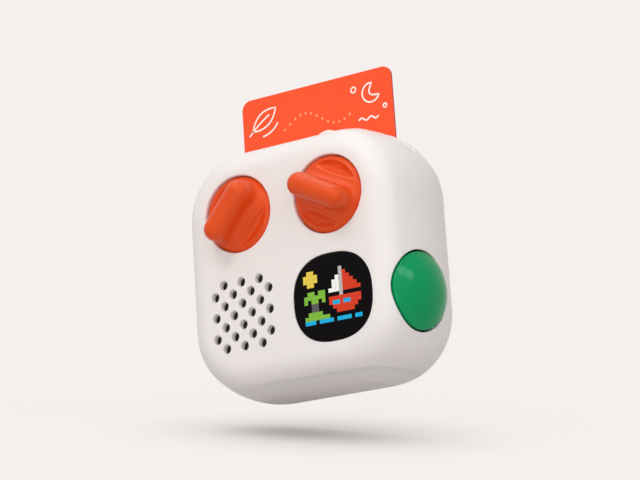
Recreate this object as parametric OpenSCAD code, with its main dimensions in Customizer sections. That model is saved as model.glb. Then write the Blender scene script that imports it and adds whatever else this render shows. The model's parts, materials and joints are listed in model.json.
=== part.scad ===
// Audio story player: a palm-sized box that plays the card pushed in at its top.
// X runs to the right seen from the front, Y to the back, Z up.
// The origin is on the surface it stands on, under the middle of the body.

/* [Body] */
// Width of the body
body_w = 76; // [72:0.5:80]
// Height of the body
body_h = 76; // [72:0.5:80]
// Depth of the body from front face to back face
body_d = 36.8; // [36.4:0.2:39.2]
// Corner radius seen from the front
corner_r = 21.5; // [19:0.5:22]
// Radius of the front and back edges
edge_r = 8; // [7:0.5:8.5]
// Radius of the crown across the sides, top and bottom
crown_r = 41; // [36:1:50]
// Wall of the housing mouldings
wall = 2; // [1.6:0.1:2.2]
// Height of the seam between housing and base cover
base_seam = 3.2; // [2.9:0.1:3.4]
// Distance of the rear seam in front of the back face
rear_depth = 3.4; // [3:0.1:3.6]

/* [Foot] */
// Length of the anti-slip foot
foot_l = 40; // [36:1:42]
// Width of the anti-slip foot
foot_w = 14; // [10:1:15]
// Thickness of the anti-slip foot
foot_t = 0.9; // [0.7:0.1:1]

/* [Knobs] */
// Distance between the two knob axes
knob_spacing = 31.5; // [30:0.5:33]
// Distance of the knob axes below the top
knob_drop = 21.7; // [21:0.1:23]
// Radius of a knob
knob_r = 11.3; // [10.8:0.1:11.6]
// Height of the grip bar above the front face
knob_h = 8.8; // [8.2:0.1:10]
// Depth of a knob's edge behind the front face
knob_sink = 1; // [0.8:0.1:1.2]
// Width of the rounded shoulder inside a knob's edge
shoulder_w = 1.4; // [1.2:0.1:1.8]
// Height of the knob's crowned face at its middle
dome_h = 1.6; // [1.2:0.1:2]
// Width of the grip bar
grip_w = 7; // [6.4:0.2:7.6]
// Radius of the fillet along each foot of the grip bar
grip_foot = 1.4; // [1:0.1:1.8]
// Width of the raised face between a knob's two hollows
face_w = 11.8; // [11:0.2:12.6]
// Depth of the hollows behind the front face
hollow_d = 0.9; // [0.6:0.1:1.1]
// Turn of the left knob's grip bar
left_turn = 48; // [-180:0.5:180]
// Turn of the right knob's grip bar
right_turn = -27.5; // [-180:0.5:180]
// Travel of a knob when it is pressed
press_travel = 0.5; // [0.3:0.1:0.6]
// Gap round a knob in its well
knob_gap = 0.6; // [0.4:0.1:0.7]
// Depth of the well that a knob sits in
well_d = 2.9; // [2.8:0.1:3]
// Diameter of an encoder shaft
shaft_d = 4.5; // [4:0.1:5]

/* [Grille and speaker] */
// Distance of the grille's middle from the body's left side
grille_side = 22.1; // [21.7:0.1:22.5]
// Height of the grille's middle as a share of the body's height
grille_level = 0.32; // [0.31:0.005:0.33]
// Step of the grille holes along X and Z
hole_step = 3.16; // [2.8:0.02:3.3]
// Diameter of a grille hole at the front
hole_d = 3.1; // [2.4:0.1:3.2]
// Outer diameter of the speaker
speaker_d = 28; // [27:0.5:28.5]
// Depth of the speaker behind its gasket
speaker_depth = 10.6; // [9.4:0.2:12]

/* [Display] */
// Distance of the display's middle from the body's right side
display_side = 22.6; // [22:0.1:23]
// Height of the display's middle as a share of the body's height
display_level = 0.318; // [0.31:0.002:0.33]
// Width of the display window
display_w = 26.4; // [25:0.2:27]
// Height of the display window
display_h = 25.3; // [24:0.1:26]
// Thickness of the display window
window_t = 1.2; // [1:0.1:1.4]
// Pixels along each side of the display
pixels = 16; // [12:1:18]
// Step of the pixels
pixel_step = 1.2; // [1:0.05:1.2]
// Depth of the light grid behind the window
grid_d = 3.8; // [3:0.2:4.4]

/* [Power button] */
// Place of the button's axis in front of the body's middle
button_y = 4.2; // [3.8:0.1:5]
// Height of the button's axis as a share of the body's height
button_level = 0.312; // [0.304:0.002:0.328]
// Radius of the button
button_r = 11.8; // [10.5:0.1:12]
// Gap round the button
button_gap = 0.35; // [0.25:0.05:0.5]
// Height of the button's dome above the side
button_dome = 2.6; // [1.8:0.2:3.4]
// Travel of the button
button_travel = 0.8; // [0.5:0.1:1]

/* [Card] */
// Width of the card
card_w = 54; // [53.5:0.1:54.5]
// Length of the card
card_l = 85.6; // [84:0.1:86]
// Thickness of the card
card_t = 0.76; // [0.7:0.02:0.9]
// Corner radius of the card
card_r = 3.18; // [2.5:0.1:4]
// Height of the card's lower edge when it plays
card_low = 10; // [9.8:0.1:12]
// Place of the card behind the body's middle
card_y = 3.95; // [3.8:0.05:4.1]
// Gap on each face of the card in its guide
card_play = 0.32; // [0.25:0.01:0.4]
// Gap at each edge of the card in its guide
card_side_play = 0.5; // [0.3:0.1:0.8]
// Wall of the card guide
guide_wall = 1; // [0.8:0.1:1.1]
// Depth of the recess round the slot
recess_d = 0.9; // [0.6:0.1:1.1]

/* [Electronics] */
// Thickness of the circuit boards
board_t = 1.2; // [1:0.1:1.4]
// Thickness of the battery cell
cell_t = 5.2; // [4.4:0.1:5.4]
// Radius of the headphone socket's bore
jack_r = 1.8; // [1.76:0.01:1.85]
// Depth of the headphone socket's bore
jack_l = 14; // [13.5:0.1:14.5]

/* [Hidden] */
$fn = 48;

// Colours
shell_white = [0.94, 0.91, 0.89];
knob_orange = [0.84, 0.28, 0.10];
card_orange = [1.0, 0.35, 0.20];
button_green = [0, 0.63, 0.40];
board_green = [0.10, 0.36, 0.25];

// The body's outline: an edge arc, a crown arc and an edge arc, turned round each corner
half_w = body_w / 2;
half_h = body_h / 2;
half_d = body_d / 2;
arm_x = half_w - corner_r;
arm_z = half_h - corner_r;
blend = asin((half_d - edge_r) / (crown_r - edge_r));
crown_c = corner_r - crown_r;
edge_c = crown_c + (crown_r - edge_r) * cos(blend);
edge_steps = 8;
crown_steps = 6;
far = 200;

// Planes from front to back
front_y = -half_d;
inner_y = front_y + wall;
seam_y = half_d - rear_depth;
guide_front = card_y - card_t / 2 - card_play - guide_wall;
guide_back = card_y + card_t / 2 + card_play + guide_wall;
fit = 0.1;
lip_l = 1.2;

// Base
floor_t = 1.2;
floor_z = base_seam + floor_t;
hatch_l = foot_l - 10;
hatch_w = 14;
hatch_rim = 1.2;
base_screw_x = foot_l / 2 - 1.8;
base_boss_r = 2.6;
base_boss_h = 4.4;

// Screws: shank and head radius, head height
screw_r = 1.2;
head_r = 2;
head_h = 1.4;
pilot_r = screw_r + 0.05;
small_r = 0.8;
small_head_r = 1.5;
small_head_h = 0.9;
small_pilot_r = small_r + 0.05;
small_hole_r = small_r + 0.15;

// Posts for the guide: an upper pair beside the card, a lower pair under it
guide_half = card_w / 2 + card_side_play;
guide_post_upper = [guide_half + guide_wall + head_r + 1.1, body_h - 20];
guide_post_lower = [max(base_screw_x + 3.8, half_w - display_side + 6.6), floor_z + 2.3];
guide_post_r = 2.3;
thread_l = 7;

// Battery cell and its cradle
cell_w = 34.4;
cell_h = 24;
cell_z = body_h - 32;
cell_mid = cell_z + cell_h / 2;
cradle_t = 0.8;
cradle_play = 0.2;
cradle_half = cell_w / 2 + cradle_t + cradle_play;

// Posts for the rear cover, counted from the body's middle
rear_post_r = 2.6;
rear_post_x = cradle_half + rear_post_r + 0.7;
rear_post_z = arm_z + 7.5;
counterbore_d = 2.2;

// Knobs and encoders
knob_x = knob_spacing / 2;
knob_z = body_h - knob_drop;
knob_seat = knob_sink + 1;
crest_r = knob_r - shoulder_w;
well_r = knob_r + knob_gap;
well_rim = 1.1;
well_back = front_y + well_d;
boss_t = 1.6;
boss_back = well_back + boss_t;
shaft_play = 0.05;
bushing_r = shaft_d / 2 + 1.2;
bushing_gap = 0.2;
encoder_w = 11.6;
encoder_h = 12;
encoder_d = 6.5;
encoder_front = boss_back + bushing_gap;
encoder_back = encoder_front + encoder_d;
plate_r = 3.7;
plate_t = 0.6;
chamber_r = plate_r + 0.3;
chamber_back = encoder_back - 0.5;
plate_y = chamber_back - 0.4 - press_travel - plate_t;
shaft_tip = 7.2;
shaft_flat = shaft_d / 2 - 0.6;
control_post_x = knob_x + encoder_w / 2 + 3.45;
control_post_z = 4.2;
control_w = 2 * control_post_x + 5;
control_h = 13.5;
small_post_r = 1.9;

// Speaker
grille_x = half_w - grille_side;
grille_z = grille_level * body_h;
grille_span = 3;
cloth_t = 0.25;
cloth_r = hole_step * sqrt(13) + hole_d / 2 + 0.3;
gasket_t = 1.6;
seat_t = 0.35;
seat_y = inner_y + seat_t;
gasket_back = seat_y + cloth_t + gasket_t;
flange_t = 1;
speaker_r = speaker_d / 2;
magnet_r = 8;
magnet_t = 4;
magnet_back = gasket_back + speaker_depth;
coil_r = 4;
pot_z = speaker_depth - magnet_t;
surround_r = speaker_r - 2;
roll_r = 1;
lug_r = speaker_r + 2.2;
lug_angles = [125, 230, 310];

// Display
display_x = half_w - display_side;
display_z = display_level * body_h;
window_play = 0.15;
window_lip = 1.4;
squircle_n = 2.45;
grid_front = front_y + window_t;
grid_back = grid_front + grid_d;
led_back = grid_back + 1;
grid_rib = 0.25;
clamp_t = 1.2;
clamp_back = led_back + clamp_t;
display_post = display_h / 2 + 2.5;

// Power button, counted along X
button_z = button_level * body_h;
side_x = crown_c + arm_x + sqrt(pow(crown_r, 2) - pow(button_y, 2));
button_back = side_x - 4.8;
button_wall = 1.6;
switch_face = side_x - 6.1;
switch_w = 6;
switch_t = 2.5;
plunger_r = 1.6;
plunger_play = 0.05;
switch_board_x = switch_face - switch_t;
switch_board_w = 13;
switch_board_h = 10.4;
switch_screw_z = 4.8;
bracket_t = 1.6;
bracket_x = switch_board_x - board_t;

// Card
recess_front = -9;
recess_back = 13;
recess_z = body_h - 9.2;
recess_r = 3;

// Boards and what they carry
antenna_t = 0.6;
ferrite_t = 0.25;
antenna_half = rear_post_z - 4;
main_y = guide_back + 1.55;
main_back = main_y + board_t;
main_left = half_w - 8;
main_right = half_w - 9;
main_low = 9;
main_high = body_h - 10;
jack_w = 6.5;
jack_h = 5;
jack_z = 24;
jack_y = main_back + jack_h / 2;
jack_nose_r = 2.6;
jack_face = crown_c + arm_x + sqrt(pow(crown_r, 2) - pow(jack_y, 2)) - 0.2;
jack_body_x = half_w - 6.2;
usb_w = 9.2;
usb_h = 3.3;
usb_l = 7.4;
usb_z = 37;
usb_y = main_back + usb_h / 2;
usb_face = crown_c + arm_x + sqrt(pow(crown_r, 2) - pow(usb_y, 2)) - 0.3;

// Pieces on the main board: width, height and thickness
ribbon_plug = [8, 3, 1.6];
ribbon_plug_x = 2.6;
ribbon_plug_z = main_low + 2.2;
battery_plug = [6.6, 5.4, 3.6];
battery_plug_x = main_right - 5.5;
battery_plug_z = half_h + 8;
speaker_plug = [5.4, 5.4, 3.4];
speaker_plug_x = 5 - main_left;
speaker_plug_z = half_h + rear_post_z - 8.5;
radio_plate = [18, 25.4, 0.8];
radio_can = [16, 17.6, 3.1];
radio_x = 7;
radio_z = (ribbon_plug_z + ribbon_plug[1] / 2 + cell_z - cradle_t - cradle_play) / 2;
processor = [9, 9, 1];
memory = [5, 5, 0.9];
charger = [6, 5, 1.5];
amplifier = [5, 4, 1.2];
choke = [4, 4, 2];
chip_x = 9.5;
right_chip_x = main_right - 6.5;

// Leads and flat cables
lead_r = 0.7;
lead_pass_x = main_left + 2.7;
cable_t = 0.2;
cable_top = knob_z - control_h / 2 - 0.5;
cable_low = display_z + 12.4;

// Points on an arc
function arc(c, r, a0, a1, n) = [
    for (i = [0:n]) let (a = a0 + (a1 - a0) * i / n) c + r * [cos(a), sin(a)]
];

// The body's edge profile as distance from the corner axis and depth, moved inwards by inset
function rim(inset) = concat(
    arc([edge_c, edge_r - half_d], edge_r - inset, -90, -blend, edge_steps),
    [for (i = [1:crown_steps - 1]) let (a = blend * (2 * i / crown_steps - 1))
        [crown_c + (crown_r - inset) * cos(a), (crown_r - inset) * sin(a)]],
    arc([edge_c, half_d - edge_r], edge_r - inset, blend, 90, edge_steps)
);

// Distance of the side wall from the body's middle at depth y, and low down at height z
function reach_at(y) = let (v = abs(y)) arm_x + (v < crown_r * sin(blend)
    ? crown_c + sqrt(pow(crown_r, 2) - pow(v, 2))
    : edge_c + sqrt(max(0, pow(edge_r, 2) - pow(v - half_d + edge_r, 2))));
function corner_x(z) = let (r = side_x - arm_x, d = max(0, half_h - arm_z - z))
    arm_x + sqrt(pow(r, 2) - pow(d, 2));

// A rounded square with the display's outline, grown by g
function squircle(w, h, g) = [
    for (i = [0:71]) let (a = i * 5, c = cos(a), s = sin(a))
        [(w / 2 + g) * sign(c) * pow(abs(c), 2 / squircle_n),
         (h / 2 + g) * sign(s) * pow(abs(s), 2 / squircle_n)]
];

// Places of the grille holes, like one colour of a chessboard
function grille_spots() = [
    for (i = [-grille_span:grille_span], j = [-grille_span:grille_span])
        if ((i + j) % 2 != 0) [i * hole_step, j * hole_step]
];

// Local Z points out of the front, the back or the right side
module on_front(x, y, z) translate([x, y, z]) rotate([90, 0, 0]) children();
module on_back(x, y, z) translate([x, y, z]) rotate([-90, 0, 0]) children();
module on_side(x) translate([x, -button_y, button_z]) rotate([0, 90, 0]) children();

// A box given by its two corners
module span(a, b) translate(a) cube(b - a);

// The body's full outer form, moved inwards by inset
module form(inset = 0) {
    side = concat([[0, inset - half_d]], rim(inset), [[0, half_d - inset]]);
    top = [for (p = rim(inset)) [arm_z + p[0], p[1]]];
    bottom = [for (i = [len(top) - 1:-1:0]) [-top[i][0], top[i][1]]];
    translate([0, 0, half_h]) rotate([-90, 0, 0]) {
        for (k = [0:3]) {
            sx = k == 0 || k == 3 ? 1 : -1;
            sy = k < 2 ? 1 : -1;
            translate([sx * arm_x, sy * arm_z, 0]) rotate(90 * k)
                rotate_extrude(angle = 90) polygon(side);
        }
        translate([-arm_x, 0, 0]) rotate([90, 0, 90])
            linear_extrude(2 * arm_x) polygon(concat(top, bottom));
        for (m = [0, 1]) mirror([m, 0, 0]) translate([arm_x, arm_z, 0]) rotate([90, 0, 0])
            linear_extrude(2 * arm_z) polygon(side);
    }
}

// The part of the children between two depths
module between(y0, y1) intersection() {
    children();
    span([-far, y0, -far], [far, y1, far]);
}

// Screw with its head's underside at the origin and a cross recess
module screw(r, l, hr, hh) difference() {
    union() {
        cylinder(r = hr, h = hh);
        translate([0, 0, -l]) cylinder(r = r, h = l);
    }
    for (a = [0, 90]) rotate(a) translate([-hr * 0.6, -hr * 0.12, hh * 0.45])
        cube([hr * 1.2, hr * 0.24, hh]);
}

// A stadium outline, long in X
module stadium(l, w) {
    square([l - w, w], center = true);
    for (s = [-1, 1]) translate([s * (l - w) / 2, 0]) circle(w / 2);
}

// Places that repeat
module guide_posts() for (x = [-1, 1], p = [guide_post_upper, guide_post_lower])
    on_front(x * p[0], guide_front, p[1]) children();
module rear_posts(y) for (x = [-1, 1], z = [-1, 1])
    on_back(x * rear_post_x, y, half_h + z * rear_post_z) children();
module control_posts(y) {
    for (x = [-1, 1]) on_front(x * control_post_x, y, knob_z) children();
    for (z = [-1, 1]) on_front(0, y, knob_z + z * control_post_z) children();
}
module speaker_posts(y) for (a = lug_angles)
    on_front(lug_r * cos(a) - grille_x, y, grille_z + lug_r * sin(a)) children();
module display_posts(y) for (z = [-1, 1])
    on_front(display_x, y, display_z + z * display_post) children();

// The shallow recess round the card slot
module recess_zone() rotate([90, 0, 90]) linear_extrude(far, center = true) polygon(concat(
    [[recess_front, far]],
    arc([recess_front + recess_r, recess_z + recess_r], recess_r, 180, 270, 6),
    arc([recess_back - recess_r, recess_z + recess_r], recess_r, 270, 360, 6),
    [[recess_back, far]]
));

module outer_form() {
    difference() {
        form();
        recess_zone();
    }
    intersection() {
        form(recess_d);
        recess_zone();
    }
}

// Posts that grow from the inside of the front wall
module shell_posts() intersection() {
    union() {
        for (x = [-1, 1]) on_front(x * knob_x, boss_back, knob_z)
            cylinder(r = well_r + well_rim, h = boss_t + well_d / 2);
        guide_posts() cylinder(r = guide_post_r, h = guide_front - inner_y + wall / 2);
        control_posts(encoder_back) cylinder(r = small_post_r, h = encoder_back - inner_y + wall / 2);
        speaker_posts(gasket_back) cylinder(r = small_post_r, h = gasket_back - inner_y + wall / 2);
        on_front(-grille_x, seat_y, grille_z) cylinder(r = speaker_r + 0.3, h = seat_t + wall / 2);
        display_posts(led_back) cylinder(r = small_post_r, h = led_back - inner_y + wall / 2);
    }
    form(wall / 2);
}

module main_shell() color(shell_white) difference() {
    union() {
        difference() {
            between(-far, seam_y) outer_form();
            intersection() {
                form(wall);
                span([-far, -far, floor_z], [far, far, far]);
            }
        }
        shell_posts();
        for (x = [-1, 1]) translate([x * base_screw_x, 0, base_seam])
            cylinder(r = base_boss_r, h = base_boss_h);
    }
    span([-far, -far, -far], [far, far, base_seam]);
    translate([0, 0, base_seam - 1]) linear_extrude(floor_t + 2) stadium(hatch_l, hatch_w);
    for (x = [-1, 1]) translate([x * base_screw_x, 0, base_seam - 1])
        cylinder(r = small_pilot_r, h = base_boss_h + 0.2);
    for (x = [-1, 1]) on_front(x * knob_x, well_back, knob_z) {
        cylinder(r = well_r, h = 10);
        translate([0, 0, -boss_t - 1]) cylinder(r = bushing_r + bushing_gap, h = boss_t + 2);
    }
    on_front(-grille_x, seat_y + 0.1, grille_z) for (p = grille_spots()) translate(p)
        cylinder(r1 = hole_d / 2 - 0.25, r2 = hole_d / 2 + 0.02, h = seat_t + wall + 0.2);
    on_front(display_x, grid_front, display_z)
        linear_extrude(10) polygon(squircle(display_w, display_h, window_play));
    on_front(display_x, inner_y + 3, display_z)
        linear_extrude(10) polygon(squircle(display_w, display_h, -window_lip));
    on_side(side_x - 8) cylinder(r = button_r + button_gap, h = 20);
    span([-guide_half, card_y - card_t / 2 - card_play, body_h / 2],
         [guide_half, card_y + card_t / 2 + card_play, far]);
    guide_posts() translate([0, 0, -1]) cylinder(r = pilot_r, h = 9);
    control_posts(encoder_back) translate([0, 0, -1]) cylinder(r = small_pilot_r, h = 6);
    speaker_posts(gasket_back) translate([0, 0, -1]) cylinder(r = small_pilot_r, h = 2.9);
    display_posts(led_back) translate([0, 0, -1]) cylinder(r = small_pilot_r, h = 4.5);
    translate([-jack_face - 4, jack_y, jack_z]) rotate([0, 90, 0])
        cylinder(r = jack_nose_r + 0.25, h = 10);
    translate([-usb_face - 4, usb_y, usb_z]) rotate([90, 0, 90]) rotate(90)
        linear_extrude(8) stadium(usb_w + 0.5, usb_h + 0.5);
}

module rear_cover() color(shell_white) difference() {
    union() {
        between(seam_y, far) difference() {
            form();
            form(wall);
        }
        between(seam_y - lip_l, seam_y + 1) difference() {
            form(wall + fit);
            form(wall + 1.2);
        }
        between(-far, half_d - wall / 2) rear_posts(main_back) cylinder(r = rear_post_r, h = 20);
    }
    rear_posts(half_d - counterbore_d) cylinder(r = head_r + 0.3, h = 10);
    rear_posts(main_back - 1) cylinder(r = screw_r + 0.15, h = 20);
}

module rear_screws() color("silver") rear_posts(half_d - counterbore_d)
    screw(screw_r, half_d - counterbore_d - guide_back + 0.6, head_r, head_h);

module base_cover() color(shell_white) difference() {
    union() {
        intersection() {
            form();
            span([-far, -far, -1], [far, seam_y, base_seam]);
        }
        translate([0, 0, base_seam]) linear_extrude(floor_t)
            stadium(hatch_l - 2 * fit, hatch_w - 2 * fit);
    }
    translate([0, 0, base_seam]) linear_extrude(far)
        stadium(hatch_l - 2 * hatch_rim, hatch_w - 2 * hatch_rim);
    translate([0, 0, -1]) linear_extrude(foot_t + 1) stadium(foot_l + 2 * fit, foot_w + 2 * fit);
    for (x = [-1, 1]) translate([x * base_screw_x, 0, foot_t - 0.5]) {
        cylinder(r = small_head_r + 0.2, h = small_head_h + 0.6);
        cylinder(r = small_hole_r, h = base_seam);
    }
}

module base_foot() color([0.85, 0.82, 0.80]) linear_extrude(foot_t) stadium(foot_l, foot_w);

module base_screws() color("silver") for (x = [-1, 1])
    translate([x * base_screw_x, 0, foot_t + small_head_h + 0.1]) mirror([0, 0, 1])
        screw(small_r, base_seam + 1.6, small_head_r, small_head_h);

module grille_cloth() color([0.12, 0.11, 0.11])
    on_front(-grille_x, seat_y + cloth_t, grille_z) cylinder(r = cloth_r, h = cloth_t);

module speaker_gasket() color([0.2, 0.2, 0.2])
    on_front(-grille_x, gasket_back, grille_z) difference() {
        cylinder(r = speaker_r, h = gasket_t + cloth_t);
        translate([0, 0, -1]) cylinder(r = speaker_r - 1.6, h = far);
        translate([0, 0, gasket_t]) cylinder(r = cloth_r + fit, h = far);
    }

// Open basket: a flange, a cone with six windows and a seat for the magnet
module speaker_basket() color([0.35, 0.35, 0.37]) difference() {
    union() {
        on_front(-grille_x, gasket_back, grille_z) rotate_extrude() polygon([
            [surround_r, 0], [speaker_r, 0], [speaker_r, -flange_t], [speaker_r - 0.8, -flange_t],
            [magnet_r + 0.6, -pot_z], [coil_r + 0.6, -pot_z], [coil_r + 0.6, 0.8 - pot_z],
            [magnet_r, 0.8 - pot_z], [surround_r, -flange_t]
        ]);
        for (a = lug_angles) on_front(-grille_x, gasket_back + flange_t, grille_z) rotate(a)
            linear_extrude(flange_t) {
                translate([lug_r, 0]) circle(small_post_r - fit);
                translate([speaker_r - 1, fit - small_post_r]) square([lug_r - speaker_r + 1, 2 * (small_post_r - fit)]);
            }
    }
    for (a = [0:60:300]) on_front(-grille_x, magnet_back - magnet_t, grille_z) rotate(a)
        translate([magnet_r + 1.4, -2.2, 1.4]) cube([6, 4.4, 2.4]);
    speaker_posts(gasket_back + 10) cylinder(r = small_hole_r, h = 20);
}

module speaker_surround() color([0.1, 0.1, 0.1])
    on_front(-grille_x, gasket_back, grille_z) rotate_extrude() translate([surround_r - roll_r, 0])
        polygon(concat(
            [[roll_r, -0.5]], arc([0, 0], roll_r, 0, 180, 12), [[-roll_r, -0.5], [0.3 - roll_r, -0.5]],
            arc([0, 0], roll_r - 0.3, 180, 0, 12), [[roll_r - 0.3, -0.5]]
        ));

module speaker_cone() color([0.16, 0.16, 0.17])
    on_front(-grille_x, gasket_back, grille_z) rotate_extrude() polygon([
        [0, -1.9], [2.6, -2.3], [coil_r, -3.7], [surround_r - 2 * roll_r, -0.5],
        [surround_r - 2 * roll_r, -0.1], [coil_r - 0.1, -3.2], [2.6, -1.8], [0, -1.4]
    ]);

module speaker_coil() color([0.75, 0.45, 0.2])
    on_front(-grille_x, gasket_back + pot_z + 1.2, grille_z) difference() {
        cylinder(r = coil_r - 0.15, h = pot_z + 1.2 - 3.65);
        translate([0, 0, -1]) cylinder(r = coil_r - 0.6, h = 10);
    }

// Magnet pot with the ring gap that the coil moves in
module speaker_magnet() color([0.55, 0.55, 0.57]) difference() {
    on_front(-grille_x, magnet_back, grille_z) cylinder(r = magnet_r, h = magnet_t);
    on_front(-grille_x, magnet_back - magnet_t + 2.4, grille_z) difference() {
        cylinder(r = coil_r + 0.2, h = 4);
        translate([0, 0, -1]) cylinder(r = coil_r - 1, h = 6);
    }
}

module speaker_screws() color("silver") speaker_posts(gasket_back + flange_t) rotate([180, 0, 0])
    screw(small_r, 2.6, small_head_r, small_head_h);

module display_window() color([0.05, 0.05, 0.06])
    on_front(display_x, grid_front, display_z)
        linear_extrude(window_t) polygon(squircle(display_w, display_h, 0));

module light_grid() color([0.9, 0.9, 0.9]) on_front(display_x, grid_back, display_z)
    linear_extrude(grid_d) difference() {
        polygon(squircle(display_w, display_h, -window_lip - fit));
        for (i = [0:pixels - 1], j = [0:pixels - 1])
            translate([(i - (pixels - 1) / 2) * pixel_step, (j - (pixels - 1) / 2) * pixel_step])
                square(pixel_step - grid_rib, center = true);
    }

module led_matrix() color(board_green) on_front(display_x, led_back, display_z) {
    linear_extrude(led_back - grid_back) square([display_w - 2, display_h - 2], center = true);
    for (i = [0:pixels - 1], j = [0:pixels - 1])
        translate([(i - (pixels - 1) / 2) * pixel_step, (j - (pixels - 1) / 2) * pixel_step, 0.7])
            linear_extrude(led_back - grid_back - 0.3) square(pixel_step / 2, center = true);
}

module display_clamp() color([0.3, 0.3, 0.32]) difference() {
    union() {
        on_front(display_x, clamp_back, display_z)
            linear_extrude(clamp_t) square([display_w, display_h - 1], center = true);
        display_posts(clamp_back) cylinder(r = small_post_r, h = clamp_t);
        on_front(display_x, clamp_back, display_z) linear_extrude(clamp_t)
            square([2 * small_post_r, 2 * display_post], center = true);
        on_front(display_x, clamp_back, display_z) linear_extrude(clamp_t + 1) difference() {
            square([display_w, display_h - 1], center = true);
            square([display_w - 1.8, display_h + 9], center = true);
        }
    }
    on_front(display_x, clamp_back + 1, display_z) linear_extrude(8) square([14, 12], center = true);
    display_posts(clamp_back + 10) cylinder(r = small_hole_r, h = 20);
}

module display_screws() color("silver") display_posts(clamp_back) rotate([180, 0, 0])
    screw(small_r, 4, small_head_r, small_head_h);

// Grip bar's round-topped cross-section, from its middle out to one side, with a foot fillet
function grip_profile(foot) = concat(
    foot ? concat([[0, 0], [grip_w / 2 + grip_foot, 0], [grip_w / 2 + grip_foot, dome_h / 2]],
                  arc([grip_w / 2 + grip_foot, dome_h / 2 + grip_foot], grip_foot, 270, 180, 6))
         : [[0, 0], [grip_w / 2, 0]],
    arc([0.2, knob_h - grip_w / 2 + 0.2], grip_w / 2 - 0.2, 0, 90, 8),
    [[0, knob_h]]
);

// Grip bar along X, with round ends above the crest of the rim
module grip() {
    run = crest_r - grip_w / 2;
    half = grip_profile(false);
    full = grip_profile(true);
    both = concat(full, [for (i = [len(full) - 1:-1:2]) [-full[i][0], full[i][1]]],
                  [[-full[1][0], 0]]);
    translate([-run, 0, 0]) rotate([90, 0, 90]) linear_extrude(2 * run) polygon(both);
    for (k = [0, 1]) rotate(180 * k) translate([run, 0, 0]) rotate(-90)
        rotate_extrude(angle = 180) polygon(half);
}

// Knob with its grip bar along X, the body's front face at z = 0: the crest of its rim is
// level with that face, and a hollow lies on each side between the crest and the raised face
module knob() {
    shoulder_r = (pow(shoulder_w, 2) + pow(knob_sink, 2)) / (2 * knob_sink);
    crown = (pow(crest_r, 2) + pow(dome_h, 2)) / (2 * dome_h);
    difference() {
        union() {
            difference() {
                rotate_extrude() polygon(concat(
                    [[0, -knob_seat], [knob_r, -knob_seat]],
                    arc([crest_r, -shoulder_r], shoulder_r, asin(1 - knob_sink / shoulder_r), 90, 6),
                    arc([0, dome_h - crown], crown, acos(crest_r / crown), 90, 10)
                ));
                for (k = [0, 1]) rotate(180 * k) intersection() {
                    translate([0, 0, -hollow_d]) cylinder(r = crest_r - 0.1, h = far);
                    translate([-far, face_w / 2, -far]) cube(2 * far);
                }
            }
            grip();
        }
        translate([0, 0, -knob_seat - 1]) difference() {
            cylinder(r = shaft_d / 2 + 0.03, h = shaft_tip + knob_seat + 1);
            translate([shaft_flat + 0.03, -5, 0]) cube(20);
        }
    }
}

module left_knob() color(knob_orange) on_front(-knob_x, front_y, knob_z) rotate(left_turn) knob();
module right_knob() color(knob_orange) on_front(knob_x, front_y, knob_z) rotate(right_turn) knob();

// Shaft with a flat inside the knob
module shaft(x, turn) color("silver") on_front(x, plate_y - shaft_play, knob_z) rotate(turn)
    difference() {
        cylinder(r = shaft_d / 2, h = plate_y - shaft_play - front_y + shaft_tip - 0.1);
        translate([shaft_flat, -5, plate_y - front_y - knob_seat - 0.3]) cube(20);
    }
module left_shaft() shaft(-knob_x, left_turn);
module right_shaft() shaft(knob_x, right_turn);

module encoder(x) color([0.4, 0.42, 0.44]) on_front(x, encoder_back, knob_z) difference() {
    union() {
        translate([-encoder_w / 2, -encoder_h / 2, 0]) cube([encoder_w, encoder_h, encoder_d]);
        cylinder(r = bushing_r, h = encoder_back - well_back - 0.1);
    }
    cylinder(r = shaft_d / 2 + shaft_play, h = far);
    translate([0, 0, encoder_back - chamber_back])
        cylinder(r = chamber_r, h = chamber_back - plate_y + 0.3);
}
module left_encoder() encoder(-knob_x);
module right_encoder() encoder(knob_x);

module push_plate(x) color("gold") on_front(x, plate_y + plate_t, knob_z)
    cylinder(r = plate_r, h = plate_t);
module left_push_plate() push_plate(-knob_x);
module right_push_plate() push_plate(knob_x);

module control_board() color(board_green) difference() {
    span([-control_w / 2, encoder_back, knob_z - control_h / 2],
         [control_w / 2, encoder_back + board_t, knob_z + control_h / 2]);
    control_posts(encoder_back + 10) cylinder(r = small_hole_r, h = 20);
}

module control_screws() color("silver") control_posts(encoder_back + board_t) rotate([180, 0, 0])
    screw(small_r, 5, small_head_r, small_head_h);

// Domed cap: its rim lies in the body's side, which leans away from the cap's axis
module power_button() color(button_green) {
    lean_y = (reach_at(button_r - button_y) - reach_at(-button_r - button_y)) / (2 * button_r);
    lean_z = (side_x - corner_x(button_z - button_r)) / (2 * button_r);
    rim_x = (reach_at(button_r - button_y) + reach_at(-button_r - button_y)
             + corner_x(button_z - button_r) + side_x) / 4;
    rise = side_x + button_dome - rim_x;
    dome_r = (pow(button_r, 2) + pow(rise, 2)) / (2 * rise);
    intersection() {
        on_side(button_back) cylinder(r = button_r, h = 20);
        difference() {
            union() {
                form(-0.1);
                on_side(side_x + button_dome) rotate([atan(lean_y), atan(lean_z), 0])
                    translate([0, 0, -dome_r]) sphere(r = dome_r, $fn = 64);
            }
            on_side(button_back - 1) cylinder(r = button_r - button_wall, h = 2.4);
        }
    }
    on_side(switch_face + 0.9) cylinder(r = 2, h = button_back - switch_face + 1.4);
    for (a = [0, 180]) on_side(button_back) rotate(a == 0 ? 180 : 90)
        translate([button_r - 1, -2.5, 0.4]) cube([2.6, 5, 0.9]);
}

module switch_plunger() color("ivory")
    on_side(switch_face - 1.6) cylinder(r = plunger_r, h = 2.5);

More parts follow.
